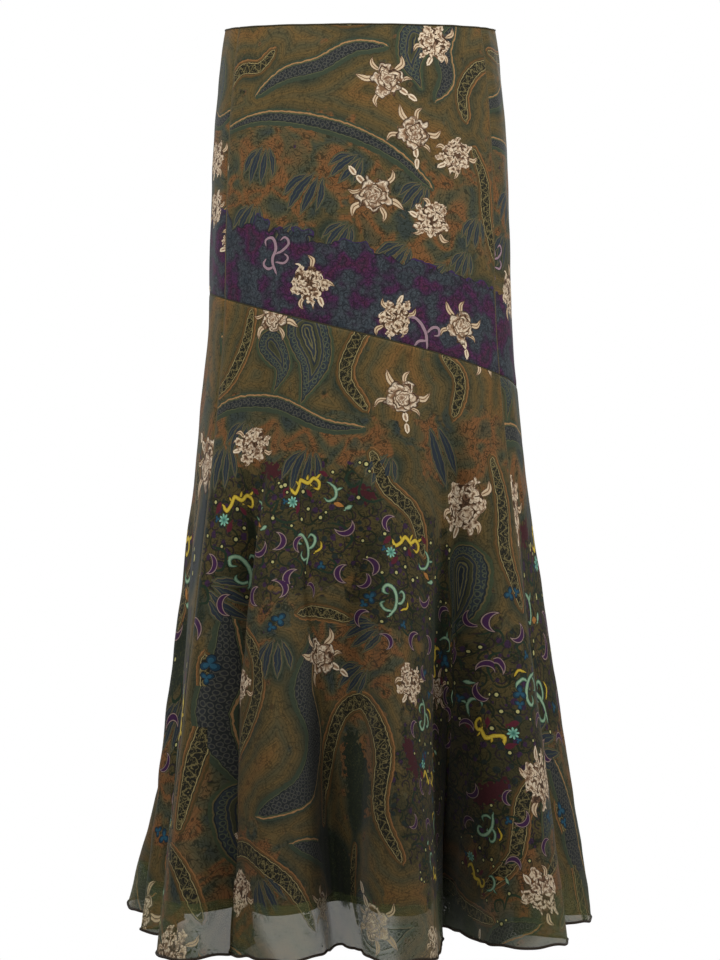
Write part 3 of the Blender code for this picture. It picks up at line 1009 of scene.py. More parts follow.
def motif(tree, under, shape, kind, bands, fills=()):
    """Prints one kind of shape over what is there. Bands are (mm in from its edge, colour or None), and
    fills are (mm in, where a pattern is, colour)."""
    low, high = bands[0][0], bands[-1][0] + 0.5
    here = is_kind(tree, shape["code"], kind)
    share = add(tree, "MapRange", shape["inside"], low, high)
    stops = [((mm - low) / (high - low), ink) for mm, ink in bands]
    colour, cover = inks(add(tree, "ValToRGB", share), stops, stepped=True)
    out = add(tree, "Mix", add(tree, "Math MULTIPLY", here, cover), under, colour)
    for depth, pattern, ink in fills:
        deep = add(tree, "Math GREATER_THAN", shape["inside"], depth)
        where = add(tree, "Math MULTIPLY", add(tree, "Math MULTIPLY", deep, here), pattern)
        out = add(tree, "Mix", where, out, linear(ink))
    return out


def scrawl(tree, place, size, detail, twist, wide):
    """Thin wandering lines: where a twisted noise passes its middle value."""
    noise = add(tree, "TexNoise", place, 1 / size, detail, named={"Distortion": twist})
    return add(tree, "Math COMPARE", noise, 0.5, wide)


def polar(tree, point):
    """How far a point is from its middle, and which way it lies from there, in radians."""
    x, y, _ = add(tree, "SeparateXYZ", point).node.outputs
    return add(tree, "VectorMath LENGTH", point, out="Value"), add(tree, "Math ARCTAN2", y, x)


def lobes(tree, turn, count, phase=0.0):
    """This many round lobes about a middle: 1 along the middle of each, 0 between two."""
    wave = add(tree, "Math COSINE", add(tree, "Math MULTIPLY_ADD", turn, count / 2, phase))
    return add(tree, "Math ABSOLUTE", wave)


def curls(tree, place, size, arc, thin):
    """Small curled strokes, each an open ring with its gap turned its own way."""
    cell = add(tree, "TexVoronoi", place, 1 / size, named={"Randomness": 0.8}).node.outputs
    _, turn = polar(tree, add(tree, "VectorMath SUBTRACT", place, cell["Position"]))
    turn = add(tree, "Math MULTIPLY_ADD", add(tree, "SeparateColor", cell["Color"]), 6.3, turn)
    drawn = add(tree, "Math GREATER_THAN", add(tree, "Math SINE", turn), -0.55)
    spiral = add(tree, "Math MULTIPLY_ADD", add(tree, "Math COSINE", turn), 0.07, arc)
    return add(tree, "Math MULTIPLY", add(tree, "Math COMPARE", cell["Distance"], spiral, thin), drawn)


def garden_bed(tree, place):
    """The ground between the gardens' bright motifs: olive brown with plum rounds and dark curls."""
    tone = add(tree, "MapRange", add(tree, "TexNoise", place, 1 / 30, 1.0), 0.4, 0.6)
    out = add(tree, "Mix", tone, linear("#4b4124"), linear("#3a3620"))
    for size, arc, thin, ink in ((19.0, 0.36, 0.040, "#1f2617"), (12.0, 0.34, 0.055, "#2a2023")):
        out = add(tree, "Mix", curls(tree, place, size, arc, thin), out, linear(ink))
    out = add(tree, "Mix", scrawl(tree, place, 34, 0.0, 0.6, 0.012), out, linear("#1f2617"))
    cell = add(tree, "TexVoronoi", place, 1 / 8.5, named={"Randomness": 0.9}).node.outputs
    own_size, own_hue, _ = add(tree, "SeparateColor", cell["Color"]).node.outputs
    reach = add(tree, "Math MULTIPLY_ADD", own_size, 0.42, -0.04)
    rounds = add(tree, "Math LESS_THAN", cell["Distance"], reach)
    picked = add(tree, "Math GREATER_THAN", own_hue, 0.6)
    return add(tree, "Mix", rounds, out, add(tree, "Mix", picked, linear("#35213a"), linear("#222a26")))


GROUND_CONTOURS = (
    (0.00, "#252b26"),
    (0.10, "#31372b"),
    (0.20, "#47412a"),
    (0.32, "#5c4b2a"),
    (0.46, "#4b462f"),
    (0.60, "#634e2b"),
    (0.74, "#6c4f2a"),
    (0.86, "#514528"),
    (1.00, "#454230"),
)
GROUND_RUST = (
    (0.30, "#333a36"),
    (0.40, "#434432"),
    (0.46, "#544a31"),
    (0.50, "#624c2f"),
    (0.55, "#704d2d"),
    (0.61, "#724c2b"),
    (0.66, "#58492f"),
    (0.76, "#3c3f32"),
)


def ground(tree, place, gap, rust, garden):
    """The cloth's ground: soft contours round the large shapes, rusty patches, dark olive where the gardens
    lie, and fine etched lines over all."""
    drift = add(tree, "Math SUBTRACT", add(tree, "TexNoise", place, 1 / 46, 2.0), 0.5)
    field = add(tree, "Math MULTIPLY_ADD", drift, 26.0, gap)
    contours, _ = inks(add(tree, "ValToRGB", add(tree, "MapRange", field, -4.0, 46.0)), GROUND_CONTOURS)
    grain = add(tree, "TexNoise", place, 1 / 27, 1.3, 0.5, named={"Distortion": 0.6})
    mottle, _ = inks(add(tree, "ValToRGB", grain), GROUND_RUST)
    uneven = add(tree, "Math SUBTRACT", add(tree, "TexNoise", place, 1 / 15, 1.8), 0.5)
    rusty = add(tree, "MapRange", add(tree, "Math MULTIPLY_ADD", uneven, 2.6, rust), 0.36, 0.62)
    out = add(tree, "Mix", rusty, contours, mottle)
    dark = add(tree, "MapRange", add(tree, "Math MULTIPLY_ADD", uneven, 2.2, garden), 0.44, 0.56)
    out = add(tree, "Mix", dark, out, garden_bed(tree, place))
    ripple = add(tree, "Math SINE", add(tree, "Math MULTIPLY", field, 2.4))
    out = add(tree, "Mix", add(tree, "MapRange", ripple, 0.2, 1.0, 0.0, 0.32), out, linear("#22230f"))
    busy = add(tree, "MapRange", add(tree, "Math MAXIMUM", rusty, dark), 0.0, 1.0, 0.42, 0.66)
    etched = add(tree, "Math MULTIPLY", scrawl(tree, place, 7.5, 1.2, 1.4, 0.032), busy)
    return add(tree, "Mix", etched, out, linear("#15190f"))


LACE_GROUND = (
    (0.30, "#31393f"),
    (0.44, "#3e4449"),
    (0.50, "#382e3d"),
    (0.55, "#482546"),
    (0.62, "#4b223c"),
    (0.72, "#372f3c"),
)


def lace_zone(tree, under, place, above_seam):
    """The purple and slate band above the yoke seam: a scalloped upper edge, and black lacy scrolls."""
    wave = add(tree, "Math SINE", add(tree, "Math MULTIPLY", add(tree, "SeparateXYZ", place), 1 / 4.4))
    scallop = add(tree, "Math ABSOLUTE", wave)
    broad = add(tree, "TexNoise", place, 1 / 24, 2.0)
    edge = add(tree, "Math MULTIPLY_ADD", scallop, 3.4, add(tree, "Math MULTIPLY_ADD", broad, 56.0, 51.0))
    depth = add(tree, "Math SUBTRACT", edge, above_seam)
    hue, _ = inks(add(tree, "ValToRGB", add(tree, "TexNoise", place, 1 / 26, 2.0)), LACE_GROUND)
    uneven = {"Randomness": 0.9}
    netting = add(tree, "TexVoronoi", place, 1 / 7.2, feature="DISTANCE_TO_EDGE", named=uneven)
    line = add(tree, "Math LESS_THAN", netting, 0.085)
    ring = add(tree, "Math COMPARE", add(tree, "TexVoronoi", place, 1 / 7.2, named=uneven), 0.27, 0.07)
    net = add(tree, "Math MULTIPLY", add(tree, "Math MAXIMUM", line, ring), 0.45)
    scrolls = scrawl(tree, place, 5.0, 1.0, 1.6, 0.035)
    scrolls = add(tree, "Math MAXIMUM", scrolls, curls(tree, place, 9.0, 0.34, 0.07))
    dark = add(tree, "Math MULTIPLY", add(tree, "Math MAXIMUM", net, scrolls), 0.72)
    colour = add(tree, "Mix", dark, hue, linear("#17151b"))
    rim = add(tree, "Math COMPARE", depth, 1.0, 0.8)
    glint = add(tree, "Math GREATER_THAN", broad, 0.53)
    colour = add(tree, "Mix", rim, colour, add(tree, "Mix", glint, linear("#211f22"), linear("#35264a")))
    return add(tree, "Mix", add(tree, "Math GREATER_THAN", depth, 0.0), under, colour)


OUTER_PETALS = ((0.0, "#6f533d"), (0.6, "#76593f"), (0.72, "#b39b80"), (0.84, "#d4c4ab"), (0.95, "#3f2c1e"))
INNER_PETALS = ((0.0, "#6f533d"), (0.52, "#8c7056"), (0.66, "#d4c4ab"), (0.8, "#bba589"), (0.88, "#3f2c1e"))
ROSE_HEART = ((0.0, "#5e4431"), (0.5, "#a58b70"), (0.8, "#d4c4ab"), (0.95, "#5e4431"))


def petals(tree, under, here, away, turn, reach, count, phase, stops):
    """One ring of a rose's petals: their tips are this far out, and the notches between them nearer in."""
    lobe = add(tree, "Math POWER", lobes(tree, turn, count, phase), 0.55)
    edge = add(tree, "Math MULTIPLY_ADD", lobe, 0.42 * reach, 0.58 * reach)
    share = add(tree, "Math DIVIDE", away, edge)
    colour, _ = inks(add(tree, "ValToRGB", share), stops)
    here = add(tree, "Math MULTIPLY", here, add(tree, "Math LESS_THAN", share, 1.0))
    return add(tree, "Mix", here, under, colour)


def engraved(tree, under, where, place, size):
    """Fine curly lines of a darker ink."""
    line = add(tree, "Math MULTIPLY", scrawl(tree, place, size, 1.0, 0.8, 0.045), where)
    return add(tree, "Mix", add(tree, "Math MULTIPLY", line, 0.8), under, linear("#6f533d"))


def roses(tree, under, here, place, bent, away, turn, wobble):
    """Rings of petals, the inner ones off the middle, round a small heart."""
    out = petals(tree, under, here, away, turn, 17.2, 5, 0.4, OUTER_PETALS)
    inner_away, inner_turn = polar(tree, add(tree, "VectorMath ADD", bent, (-1.8, 1.4, 0.0)))
    inner_away = add(tree, "Math MULTIPLY_ADD", wobble, 1.0, inner_away)
    for reach, count, phase, stops in (
        (12.4, 5, 1.3, INNER_PETALS),
        (8.2, 3, 0.2, INNER_PETALS),
        (4.2, 2, 0.9, ROSE_HEART),
    ):
        out = petals(tree, out, here, inner_away, inner_turn, reach, count, phase, stops)
    within = add(tree, "Math MULTIPLY", here, add(tree, "Math LESS_THAN", away, 15.0))
    return engraved(tree, out, within, place, 4.6)


FLORET = (
    (0.00, "#3a291c"),
    (0.16, "#4c3626"),
    (0.24, "#957b61"),
    (0.46, "#cab598"),
    (0.78, "#d4c4ab"),
    (0.88, "#9c8166"),
    (0.94, "#3f2d1f"),
)


def clusters(tree, under, here, place, bent, away):
    """Heads of many five-petalled florets, each turned its own way."""
    x, y, _ = add(tree, "SeparateXYZ", bent).node.outputs
    spot = add(tree, "CombineXYZ", add(tree, "Math MULTIPLY", x, 1.25), y, 0.0)
    cell = add(tree, "TexVoronoi", spot, 1 / 10.5, named={"Randomness": 0.7}).node.outputs
    own_away, own_turn = polar(tree, add(tree, "VectorMath SUBTRACT", spot, cell["Position"]))
    own_turn = add(tree, "Math MULTIPLY_ADD", add(tree, "SeparateColor", cell["Color"]), 6.0, own_turn)
    lobe = add(tree, "Math POWER", lobes(tree, own_turn, 5), 0.6)
    share = add(tree, "Math DIVIDE", own_away, add(tree, "Math MULTIPLY_ADD", lobe, 4.6, 2.4))
    colour, _ = inks(add(tree, "ValToRGB", share), FLORET)
    from_head = add(tree, "VectorMath LENGTH", cell["Position"], out="Value")
    kept = add(tree, "Math LESS_THAN", from_head, 20.5)
    drawn = add(tree, "Math MULTIPLY", kept, add(tree, "Math LESS_THAN", share, 1.0))
    covered = add(tree, "Math MAXIMUM", drawn, add(tree, "Math LESS_THAN", away, 16.0))
    where = add(tree, "Math MULTIPLY", here, covered)
    return engraved(tree, add(tree, "Mix", where, under, colour), where, place, 5.0)


CRESCENT_INKS = ((-1.2, None), (-0.8, "#1e171d"), (-0.3, "#87736a"), (0.5, "#381c3d"))
SPRIG_INKS = ((-0.8, None), (-0.3, "#121c24"), (0.4, "#183342"), (2.2, "#234a5c"))
DAISY_INKS = ((0.0, "#2a4f44"), (0.25, "#4c7d6e"), (0.60, "#74a892"), (1.0, "#84b59e"))
DOT_INKS = ((0.0, "#aba66c"), (0.30, "#1a1d15"), (0.58, None))


def small_rounds(tree, under, code, plane):
    """Crescents, blue sprigs of three lobes, eight-rayed daisies and dots."""
    outer, cut = (
        add(tree, "VectorMath LENGTH", add(tree, "VectorMath ADD", plane, (-across, 0.0, 0.0)), out="Value")
        for across in (4.2, 10.0)
    )
    within, beyond = add(tree, "Math SUBTRACT", 8.8, outer), add(tree, "Math SUBTRACT", cut, 9.4)
    lune = {"code": code, "inside": add(tree, "Math MINIMUM", within, beyond)}
    out = motif(tree, under, lune, CRESCENT, CRESCENT_INKS)
    away, turn = polar(tree, plane)
    reach = add(tree, "Math MULTIPLY_ADD", lobes(tree, turn, 3), 5.2, 1.6)
    sprig = {"code": code, "inside": add(tree, "Math SUBTRACT", reach, away)}
    out = motif(tree, out, sprig, BLUE_SPRIG, SPRIG_INKS)
    reach = add(tree, "Math MULTIPLY_ADD", lobes(tree, turn, 8), 3.4, 2.2)
    star = add(tree, "Math MULTIPLY", add(tree, "Math LESS_THAN", away, reach), is_kind(tree, code, DAISY))
    colour, _ = inks(add(tree, "ValToRGB", add(tree, "Math MULTIPLY", away, 1 / 6)), DAISY_INKS)
    out = add(tree, "Mix", star, out, colour)
    disc = add(tree, "ValToRGB", add(tree, "Math MULTIPLY", away, 1 / 4.8))
    colour, cover = inks(disc, DOT_INKS, stepped=True)
    return add(tree, "Mix", add(tree, "Math MULTIPLY", is_kind(tree, code, DOT), cover), out, colour)


def flower_heads(tree, under, place, wobble):
    """All the round motifs, from their chart."""
    chart = add(tree, "Attribute", attribute_name="round", out="Vector")
    x, y, code = add(tree, "SeparateXYZ", chart).node.outputs
    plane = add(tree, "CombineXYZ", x, y, 0.0)
    noise = add(tree, "TexNoise", place, 1 / 9, 1.0, out="Color")
    noise = add(tree, "VectorMath SUBTRACT", noise, (0.5, 0.5, 0.5))
    bent = add(tree, "VectorMath MULTIPLY_ADD", noise, (13.0, 13.0, 0.0), plane)
    away, turn = polar(tree, bent)
    away = add(tree, "Math MULTIPLY_ADD", wobble, 1.4, away)
    out = roses(tree, under, is_kind(tree, code, ROSE), place, bent, away, turn, wobble)
    out = clusters(tree, out, is_kind(tree, code, CLUSTER), place, bent, away)
    return small_rounds(tree, out, code, plane)


# The inks of each kind of line shape, in the order of printing: from how far in from its edge, in mm, and
# the ink there, or None where nothing is printed.
LARGE_INKS = {
    NAVY_PATCH: ((-1.0, None), (0.0, "#262b2f")),
    MAROON_PATCH: ((-1.0, None), (0.0, "#3c181c")),
    DARK_PATCH: ((-1.0, None), (0.0, "#20261c")),
    LEAF: ((-2.6, None), (-1.8, "#3f4434"), (-0.7, "#5f5438"), (0.0, "#262d35")),
    BEADED: ((-5.0, None), (-4.2, "#353d2e"), (-0.4, "#4d5038"), (0.4, "#1c1f20"), (1.0, "#232627")),
    PAISLEY: (
        (-4.4, None),
        (-3.4, "#39412e"),
        (-1.2, "#5a5134"),
        (-0.2, "#20262a"),
        (0.7, "#2b3237"),
        (6.4, "#565338"),
        (7.2, "#2a3037"),
        (9.2, "#565338"),
        (10.0, "#3a3a28"),
        (12.4, "#23292e"),
        (14.0, "#5f5a3c"),
        (15.4, "#2a3037"),
        (17.4, "#5f5a3c"),
        (18.6, "#23292e"),
    ),
    RIBBON: (
        (-4.6, None),
        (-3.8, "#45391f"),
        (-2.4, "#5a4224"),
        (-0.8, "#2f2d1c"),
        (-0.1, "#8f7f55"),
        (0.6, "#1d1c13"),
    ),
}
SMALL_INKS = {
    TENDRIL: ((-0.6, None), (0.0, "#1d2c1e")),
    YELLOW: ((-1.1, None), (-0.5, "#2a2212"), (0.0, "#a88d2a"), (0.7, "#c4ab3c")),
    MINT: ((-1.0, None), (-0.5, "#18281f"), (0.0, "#5c7b63"), (0.7, "#88a486")),
    DROP: ((-1.0, None), (-0.5, "#2a2212"), (0.0, "#9c6a34")),
    BERRY: ((-0.6, None), (0.0, "#4f1b26")),
    MAUVE: ((-1.0, None), (-0.5, "#1b1720"), (0.0, "#8d747c")),
    CREAM_LEAF: ((-1.0, None), (-0.4, "#4c3626"), (0.2, "#bfa98a")),
    BUD: ((-1.0, None), (-0.5, "#4c3626"), (0.1, "#d2c1a6"), (1.7, "#8c7056")),
}
# Painted shade: the print's colour is darkened lower down the skirt, where less of the lamps' light falls.
SHADE_PAINTED_DOWNWARDS = (330.0, 780.0, 1.0, 0.66)  # between these mm below the waist, from this brightness to this


def large_fills(tree, large):
    """The patterns that fill the large shapes: for each kind, (mm in from its edge, where, ink)."""
    on_line = add(tree, "CombineXYZ", large["along"], large["off"], 0.0)
    curl = scrawl(tree, on_line, 4.6, 0.0, 1.5, 0.038)
    swing = add(tree, "Math SINE", add(tree, "Math MULTIPLY", large["bent"], 0.66))
    swung = add(tree, "Math COMPARE", add(tree, "Math MULTIPLY", swing, 3.2), large["off"], 0.75)
    scrolls = add(tree, "Math MAXIMUM", swung, curl)
    bead = add(tree, "TexVoronoi", on_line, 1 / 5.0, named={"Randomness": 0.25})
    bead_ring, bead_core = (add(tree, "Math LESS_THAN", bead, reach) for reach in (0.45, 0.29))
    slant = add(tree, "Math MULTIPLY_ADD", large["away"], 1.5, large["along"])
    vein = add(tree, "Math LESS_THAN", add(tree, "Math MODULO", slant, 2.7), 0.6)
    midrib = add(tree, "Math LESS_THAN", large["away"], 0.4)
    border = add(tree, "Math LESS_THAN", large["inside"], 6.2)
    one_side = add(tree, "Math LESS_THAN", large["off"], 0.0)
    line, beside = (
        add(tree, "Math MULTIPLY", add(tree, "Math COMPARE", large["inside"], depth, half), one_side)
        for depth, half in ((-1.6, 0.7), (-3.0, 0.55))
    )
    return {
        NAVY_PATCH: ((1.5, vein, "#343932"),),
        DARK_PATCH: ((0.0, curl, "#363923"),),
        LEAF: ((0.6, midrib, "#3d4338"),),
        BEADED: ((-4.0, line, "#94714a"), (1.0, bead_ring, "#46463f"), (1.2, bead_core, "#27292c")),
        PAISLEY: (
            (1.0, add(tree, "Math MULTIPLY", bead_ring, border), "#4b503e"),
            (1.3, add(tree, "Math MULTIPLY", bead_core, border), "#272c30"),
        ),
        RIBBON: ((-3.6, beside, "#7f5934"), (0.8, scrolls, "#665c3a")),
    }


def printed_colour(tree):
    """All the inks of the print, with painted shade that darkens them lower down the skirt."""
    spot = add(tree, "Attribute", attribute_name="flat", out="Vector")
    x, y, gap = add(tree, "SeparateXYZ", spot).node.outputs
    place = add(tree, "CombineXYZ", x, y, 0.0)
    zone = add(tree, "Attribute", attribute_name="zone", out="Vector")
    above_seam, rust, garden = add(tree, "SeparateXYZ", zone).node.outputs
    shaky = add(tree, "Math SUBTRACT", add(tree, "TexNoise", place, 1 / 5.5, 1.0), 0.5)
    wobble = add(tree, "Math MULTIPLY", shaky, 2.6)
    out = ground(tree, place, gap, rust, garden)
    large = read_chart(tree, "large", wobble)
    large["bent"] = add(tree, "Math MULTIPLY_ADD", wobble, 2.2, large["along"])
    rough = add(tree, "Math SUBTRACT", add(tree, "TexNoise", place, 1 / 4.5, 1.0), 0.5)
    serrated = large | {"inside": add(tree, "Math MULTIPLY_ADD", rough, 22.0, large["inside"])}
    fills = large_fills(tree, large)
    for kind, bands in LARGE_INKS.items():
        shape = serrated if kind in (NAVY_PATCH, MAROON_PATCH, DARK_PATCH) else large
        out = motif(tree, out, shape, kind, bands, fills.get(kind, ()))
    out = lace_zone(tree, out, place, above_seam)
    small = read_chart(tree, "small", add(tree, "Math MULTIPLY", wobble, 0.35))
    midrib = add(tree, "Math LESS_THAN", small["away"], 0.5)
    fills = {CREAM_LEAF: ((0.4, midrib, "#76593f"),)}
    for kind, bands in SMALL_INKS.items():
        out = motif(tree, out, small, kind, bands, fills.get(kind, ()))
    out = flower_heads(tree, out, place, wobble)
    # painted shade: the print is darker lower down the skirt
    return add(tree, "VectorMath SCALE", out, add(tree, "MapRange", y, *SHADE_PAINTED_DOWNWARDS))


CREPE_SCALE = 1 / 1.4  # crepe threads are 0.35 mm apart: drawn four times coarser so that they show
CREPE_BUMP, CREPE_DEPTH = 0.25, 0.0004
SHEER_COVER, PIGMENT_COVER = 0.65, 0.95  # of each wall of a single layer: the dyed ground, and thick inks
FULLEST_COVER = 0.97
GATHERED = (  # where folds bring the hem's layers together, in mm across the cloth: white where they do
    (-350, "#303030"),
    (-272, "#000000"),
    (-262, "#d0d0d0"),
    (-226, "#b0b0b0"),
    (-214, "#000000"),
    (-158, "#040404"),
    (-146, "#b0b0b0"),
    (-124, "#a0a0a0"),
    (-112, "#060606"),
    (-46, "#0a0a0a"),
    (-36, "#909090"),
    (-16, "#808080"),
    (-6, "#0a0a0a"),
    (8, "#101010"),
    (18, "#c0c0c0"),
    (112, "#d8d8d8"),
    (126, "#808080"),
    (222, "#989898"),
    (244, "#e8e8e8"),
    (318, "#e0e0e0"),
    (350, "#303030"),
)


def single_layer(tree, spot, colour):
    """The colour of a single layer with light behind it, and how much of what is behind it it hides. Away
    from the gathered bands its colour is mixed a little towards a pale grey green, a painted glow of the
    light shining through it.
    """
    across = add(tree, "Math WRAP", add(tree, "SeparateXYZ", spot), REPEAT / 2, -REPEAT / 2)
    share = add(tree, "MapRange", across, -REPEAT / 2, REPEAT / 2)
    bands = [((mm + REPEAT / 2) / REPEAT, grey) for mm, grey in GATHERED]
    gathered = add(tree, "RGBToBW", inks(add(tree, "ValToRGB", share), bands)[0])
    bright = add(tree, "RGBToBW", colour)
    dark_ink = add(tree, "MapRange", bright, 0.008, 0.026, PIGMENT_COVER, SHEER_COVER)
    pale_ink = add(tree, "MapRange", bright, 0.08, 0.30, SHEER_COVER, PIGMENT_COVER)
    cover = add(tree, "Math MAXIMUM", dark_ink, pale_ink)
    cover = add(tree, "Math MULTIPLY_ADD", gathered, 0.34, cover)
    # painted glow: a single layer is painted paler where no folds gather its layers, for the light shining
    # through it
    painted_glow = add(tree, "MapRange", gathered, 0.0, 1.0, 0.16, 0.0)
    cover = add(tree, "Math MINIMUM", cover, FULLEST_COVER)
    return add(tree, "Mix", painted_glow, colour, linear("#77854e")), cover


def printed_chiffon(name, sheer):
    """Polyester georgette, printed: matt crepe threads with a faint sheen. One layer is half clear, and
    over the lining it looks solid."""
    material = new_material(name)
    tree = material.node_tree
    colour = printed_colour(tree)
    spot = add(tree, "Attribute", attribute_name="flat", out="Vector")
    crepe = add(tree, "TexNoise", spot, CREPE_SCALE, 2.0)
    colour = add(tree, "VectorMath SCALE", colour, add(tree, "MapRange", crepe, 0.3, 0.7, 0.86, 1.12))
    looks = {"Roughness": 0.78, "Specular IOR Level": 0.12, "Sheen Weight": 0.03, "Sheen Roughness": 0.5}
    looks["Normal"] = add(tree, "Bump", CREPE_BUMP, CREPE_DEPTH, named={"Height": crepe})
    if sheer:
        colour, looks["Alpha"] = single_layer(tree, spot, colour)
    add(tree, "OutputMaterial", add(tree, "BsdfPrincipled", colour, named=looks))
    return material


def lining_cloth():
    """Polyester lining, plain woven and pressed: smooth, a little glossy, dark olive."""
    material = new_material("lining_cloth")
    tree = material.node_tree
    grain = add(tree, "TexNoise", add(tree, "TexCoord", out="Object"), 700.0, 2.0)
    tone = add(tree, "Mix", add(tree, "MapRange", grain, 0.3, 0.7), linear("#25231a"), linear("#2f2c20"))
    bump = add(tree, "Bump", 0.2, 0.0003, named={"Height": grain})
    looks = {"Roughness": 0.5, "Specular IOR Level": 0.4, "Normal": bump}
    add(tree, "OutputMaterial", add(tree, "BsdfPrincipled", tone, named=looks))
    return material


STITCH = 2.4  # mm from one stitch of the overlock thread to the next


def edge_finish(name, dark, light):
    """A rolled or folded edge: stitches wound slantwise round it, a fine ridge of thread each."""
    material = new_material(name)
    tree = material.node_tree
    wound = add(tree, "Attribute", attribute_name="wound", out="Fac")
    wave = add(tree, "Math SINE", add(tree, "Math MULTIPLY", wound, 2 * math.pi / STITCH))
    thread = add(tree, "MapRange", wave, -1.0, 1.0)
    tone = add(tree, "Mix", thread, linear(dark), linear(light))
    bump = add(tree, "Bump", 0.4, 0.0003, named={"Height": thread})
    looks = {"Roughness": 0.75, "Specular IOR Level": 0.2, "Normal": bump}
    add(tree, "OutputMaterial", add(tree, "BsdfPrincipled", tone, named=looks))
    return material


# ---- floor, camera and light

CAMERA_AWAY = 2.8  # from the skirt's axis
CAMERA_LEVEL = -0.479
AIM_LEVEL = -0.450
VIEW_HEIGHT = 0.960  # of what the view takes in at the axis
SENSOR = 36.0
AMBIENT = 0.08  # how strongly the white surroundings light the skirt
FLOOR_LEVEL, FLOOR_RADIUS = -1.22, 1.5
LAMPS = (  # name, place, size, watts
    ("key", (-0.15, -1.35, 1.45), 0.7, 33.5),
    ("left", (-1.35, -0.95, 0.70), 0.5, 18.5),
    ("fill", (1.75, -0.55, 0.40), 0.6, 26.0),
    ("back light", (1.2, 2.9, 0.8), 1.4, 40.0),
    ("back fill", (-2.0, 2.2, 0.1), 1.4, 22.0),
)


def put_aimed(name, data, place):
    """Puts a camera or a lamp at its place, looking at the middle of the skirt."""
    thing = bpy.data.objects.new(name, data)
    bpy.context.scene.collection.objects.link(thing)
    thing.location = place
    way = Vector((0.0, 0.0, AIM_LEVEL)) - thing.location
    thing.rotation_euler = way.to_track_quat("-Z", "Y").to_euler()
    return thing


def studio():
    scene = bpy.context.scene
    world = bpy.data.worlds.new("studio")
    world.use_nodes = True
    tree = world.node_tree
    tree.nodes.clear()
    strength = add(tree, "MapRange", add(tree, "LightPath", out="Is Camera Ray"), 0.0, 1.0, AMBIENT, 1.0)
    add(tree, "OutputWorld", add(tree, "Background", (1.0, 1.0, 1.0, 1.0), strength))
    scene.world = world
    scene.view_settings.view_transform = "Standard"
    scene.view_settings.look = "None"
    lens = bpy.data.cameras.new("camera")
    lens.sensor_width = SENSOR
    lens.lens = SENSOR * CAMERA_AWAY / VIEW_HEIGHT
    scene.camera = put_aimed("camera", lens, (0.0, -CAMERA_AWAY, CAMERA_LEVEL))
    for name, place, size, watts in LAMPS:
        lamp = bpy.data.lights.new(name, "AREA")
        lamp.shape = "DISK"
        lamp.size = size
        lamp.energy = watts
        put_aimed(name, lamp, place)


def floor():
    place = (0.0, 0.0, FLOOR_LEVEL)
    bpy.ops.mesh.primitive_circle_add(vertices=96, radius=FLOOR_RADIUS, fill_type="NGON", location=place)
    disc = bpy.context.object
    disc.name = "floor"
    material = new_material("matt_white_studio_floor")
    tree = material.node_tree
    shader = add(tree, "BsdfPrincipled", linear("#e9e7e4"), named={"Roughness": 0.9})
    add(tree, "OutputMaterial", shader)
    disc.data.materials.append(material)


# ---- the pieces

# Name, panel, top edge, bottom edge, columns, rows, seams on these edges, seed of its drifts.
PIECES = (
    ("yoke_front", "front", waist_level, yoke_seam_level, 200, 170, ("bottom", "sides"), 1),
    ("yoke_back", "back", waist_level, yoke_seam_level, 260, 150, ("bottom", "sides"), 2),
    ("skirt_front", "front", yoke_seam_level, hem_level, 370, 212, ("top", "sides"), 1),
    ("skirt_back", "back", yoke_seam_level, hem_level, 420, 186, ("top", "sides"), 2),
    ("lining_front", "front", waist_level, lining_hem_level, 200, 150, ("sides",), 3),
    ("lining_back", "back", waist_level, lining_hem_level, 300, 150, ("sides",), 4),
)
SHEER_ABOVE_LINING_HEM = 0.010  # the outer cloth is drawn sheer from this far above the lining's hem
NO_LACE = 500.0  # mm above the yoke seam, as the cloth below it counts: past the lace band


def set_corners(piece, name, values):
    """Stores three numbers for each corner of each face."""
    layer = piece.data.attributes.new(name, "FLOAT_VECTOR", "CORNER")
    layer.data.foreach_set("vector", np.ascontiguousarray(values, np.float32).ravel())


def face_corners(mesh):
    """The first corner of each face, and how many corners it has."""
    starts, totals = np.zeros(len(mesh.polygons), int), np.zeros(len(mesh.polygons), int)
    mesh.polygons.foreach_get("loop_start", starts)
    mesh.polygons.foreach_get("loop_total", totals)
    return starts, totals


def print_charts(piece, home, part, panel, grid, flat, columns):
    """Works out where the print's motifs lie on a piece and stores it on its corners."""
    starts, totals = face_corners(piece.data)
    table = home[starts[:, None] + np.minimum(np.arange(4), totals[:, None] - 1)]
    face = np.repeat(np.arange(len(starts)), totals)
    slot = np.arange(len(home)) - np.repeat(starts, totals)
    points = flat.reshape(-1, 2) + [BACK_SHIFT if panel == "back" else 0.0, 0.0]
    large, small, rounds = layout(part)
    chart, gaps = line_chart(large, TAPER, points, table, LARGE_REACH)
    set_corners(piece, "large", chart[face, slot])
    chart, _ = line_chart(small, SMALL_TAPER, points, table, SMALL_REACH)
    set_corners(piece, "small", chart[face, slot])
    set_corners(piece, "round", round_chart(rounds, points, table)[face, slot])
    set_corners(piece, "flat", np.column_stack([points, gaps])[home])
    above = (grid[..., 2] - yoke_seam_level(columns)).ravel() * 1000.0
    if part == "skirt":
        above = np.full(len(points), NO_LACE)
    rust = patch_share(YOKE_RUST if part == "yoke" else SKIRT_RUST, points)
    garden = patch_share(() if part == "yoke" else SKIRT_GARDEN, points)
    set_corners(piece, "zone", np.column_stack([above, rust, garden])[home])


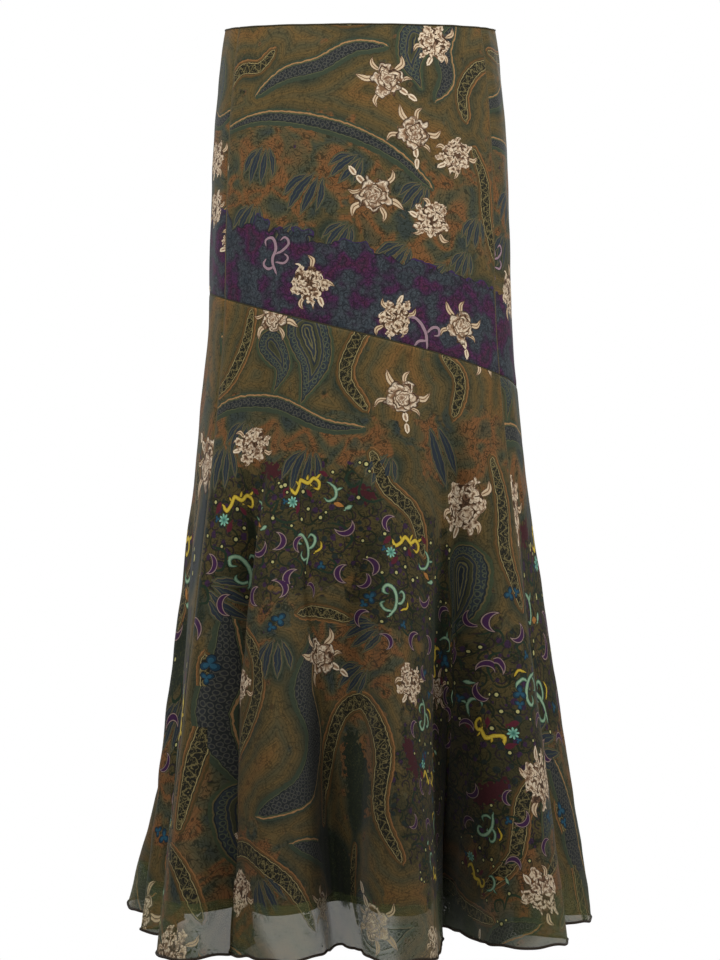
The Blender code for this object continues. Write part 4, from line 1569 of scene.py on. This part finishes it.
def make_cloth():
    """The six cut pieces: for each, its object, its outer grid, and a list for the trims sewn to it."""
    made = {}
    solid = printed_chiffon("printed_chiffon", sheer=False)
    sheer = printed_chiffon("printed_chiffon_single_layer", sheer=True)
    lining = lining_cloth()
    for name, panel, top, bottom, across, rows, seams, seed in PIECES:
        part = name.split("_")[0]
        inside = part == "lining"
        clearance = (LINING_CLEARANCE_TOP, LINING_CLEARANCE_HEM) if inside else (0.0, 0.0)
        grid, flat = cloth_grid(panel, top, bottom, across, rows, clearance, seams, seed)
        piece, home = shell(f"{name}_cloth", grid, LINING if inside else CLOTH)
        piece.data.materials.append(lining if inside else solid)
        columns = columns_of(panel, np.linspace(0, 1, across + 1))
        if not inside:
            print_charts(piece, home, part, panel, grid, flat, columns)
        if part == "skirt":
            piece.data.materials.append(sheer)
            above = (grid[..., 2] - lining_hem_level(columns)).ravel()[home]
            low = np.maximum.reduceat(above, face_corners(piece.data)[0]) < SHEER_ABOVE_LINING_HEM
            piece.data.polygons.foreach_set("material_index", low.astype(np.int32))
        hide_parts(name)
        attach(piece, "root")
        made[name] = (piece, grid, [])
    return made


# ---- edges and seams


def ring(made, kind, row):
    """One row of the front's grid and the back's, joined into a closed path, with its outward normals."""
    pair = [made[f"{kind}_{side}"][1] for side in ("front", "back")]
    path = np.concatenate([grid[row, :-1] for grid in pair])
    return path, np.concatenate([normals_of(grid)[row, :-1] for grid in pair])


def side_line(made, column):
    """The front's side edge from the waist to the hem, with its outward normals."""
    pair = [made[name][1] for name in ("yoke_front", "skirt_front")]
    rows = [grid[:, column] for grid in pair], [normals_of(grid)[:, column] for grid in pair]
    return [np.concatenate([first[:-1], second]) for first, second in rows]


def edges_and_seams(made):
    """The overlocked hem, the turned waist edge, the seams and the lining's hem, each on its cloth."""
    roll = edge_finish("overlock_thread", "#18130d", "#2f2418")
    fold = edge_finish("folded_chiffon_edge", "#2c2818", "#3b3520")
    # The side seams are lighter than the cloth beside them: partly the seam's own tone, partly a painted
    # highlight along its ridge.
    seam = edge_finish("pressed_seam_chiffon_painted_highlight", "#4b422c", "#61563b")
    turned = edge_finish("lining_fold", "#211f17", "#2c2a1f")
    for name, (path, outs), closed, thick, wide, finish, cloth_piece in (
        ("hem_roll", ring(made, "skirt", -1), True, 0.0012, 0.0013, roll, "skirt_front"),
        ("waist_edge", ring(made, "yoke", 0), True, 0.0007, 0.0008, fold, "yoke_front"),
        ("yoke_seam", ring(made, "yoke", -1), True, 0.0003, 0.0007, fold, "yoke_front"),
        ("side_seam_left", side_line(made, 0), False, 0.0003, 0.0008, seam, "skirt_front"),
        ("side_seam_right", side_line(made, -1), False, 0.0003, 0.0008, seam, "skirt_front"),
        ("lining_hem_fold", ring(made, "lining", -1), True, 0.0006, 0.0007, turned, "lining_front"),
    ):
        piece = tube(name, path, outs, thick, wide, closed)
        piece.data.materials.append(finish)
        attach(piece, "root")
        made[cloth_piece][2].append(piece)


cloth = make_cloth()
edges_and_seams(cloth)
studio()
floor()
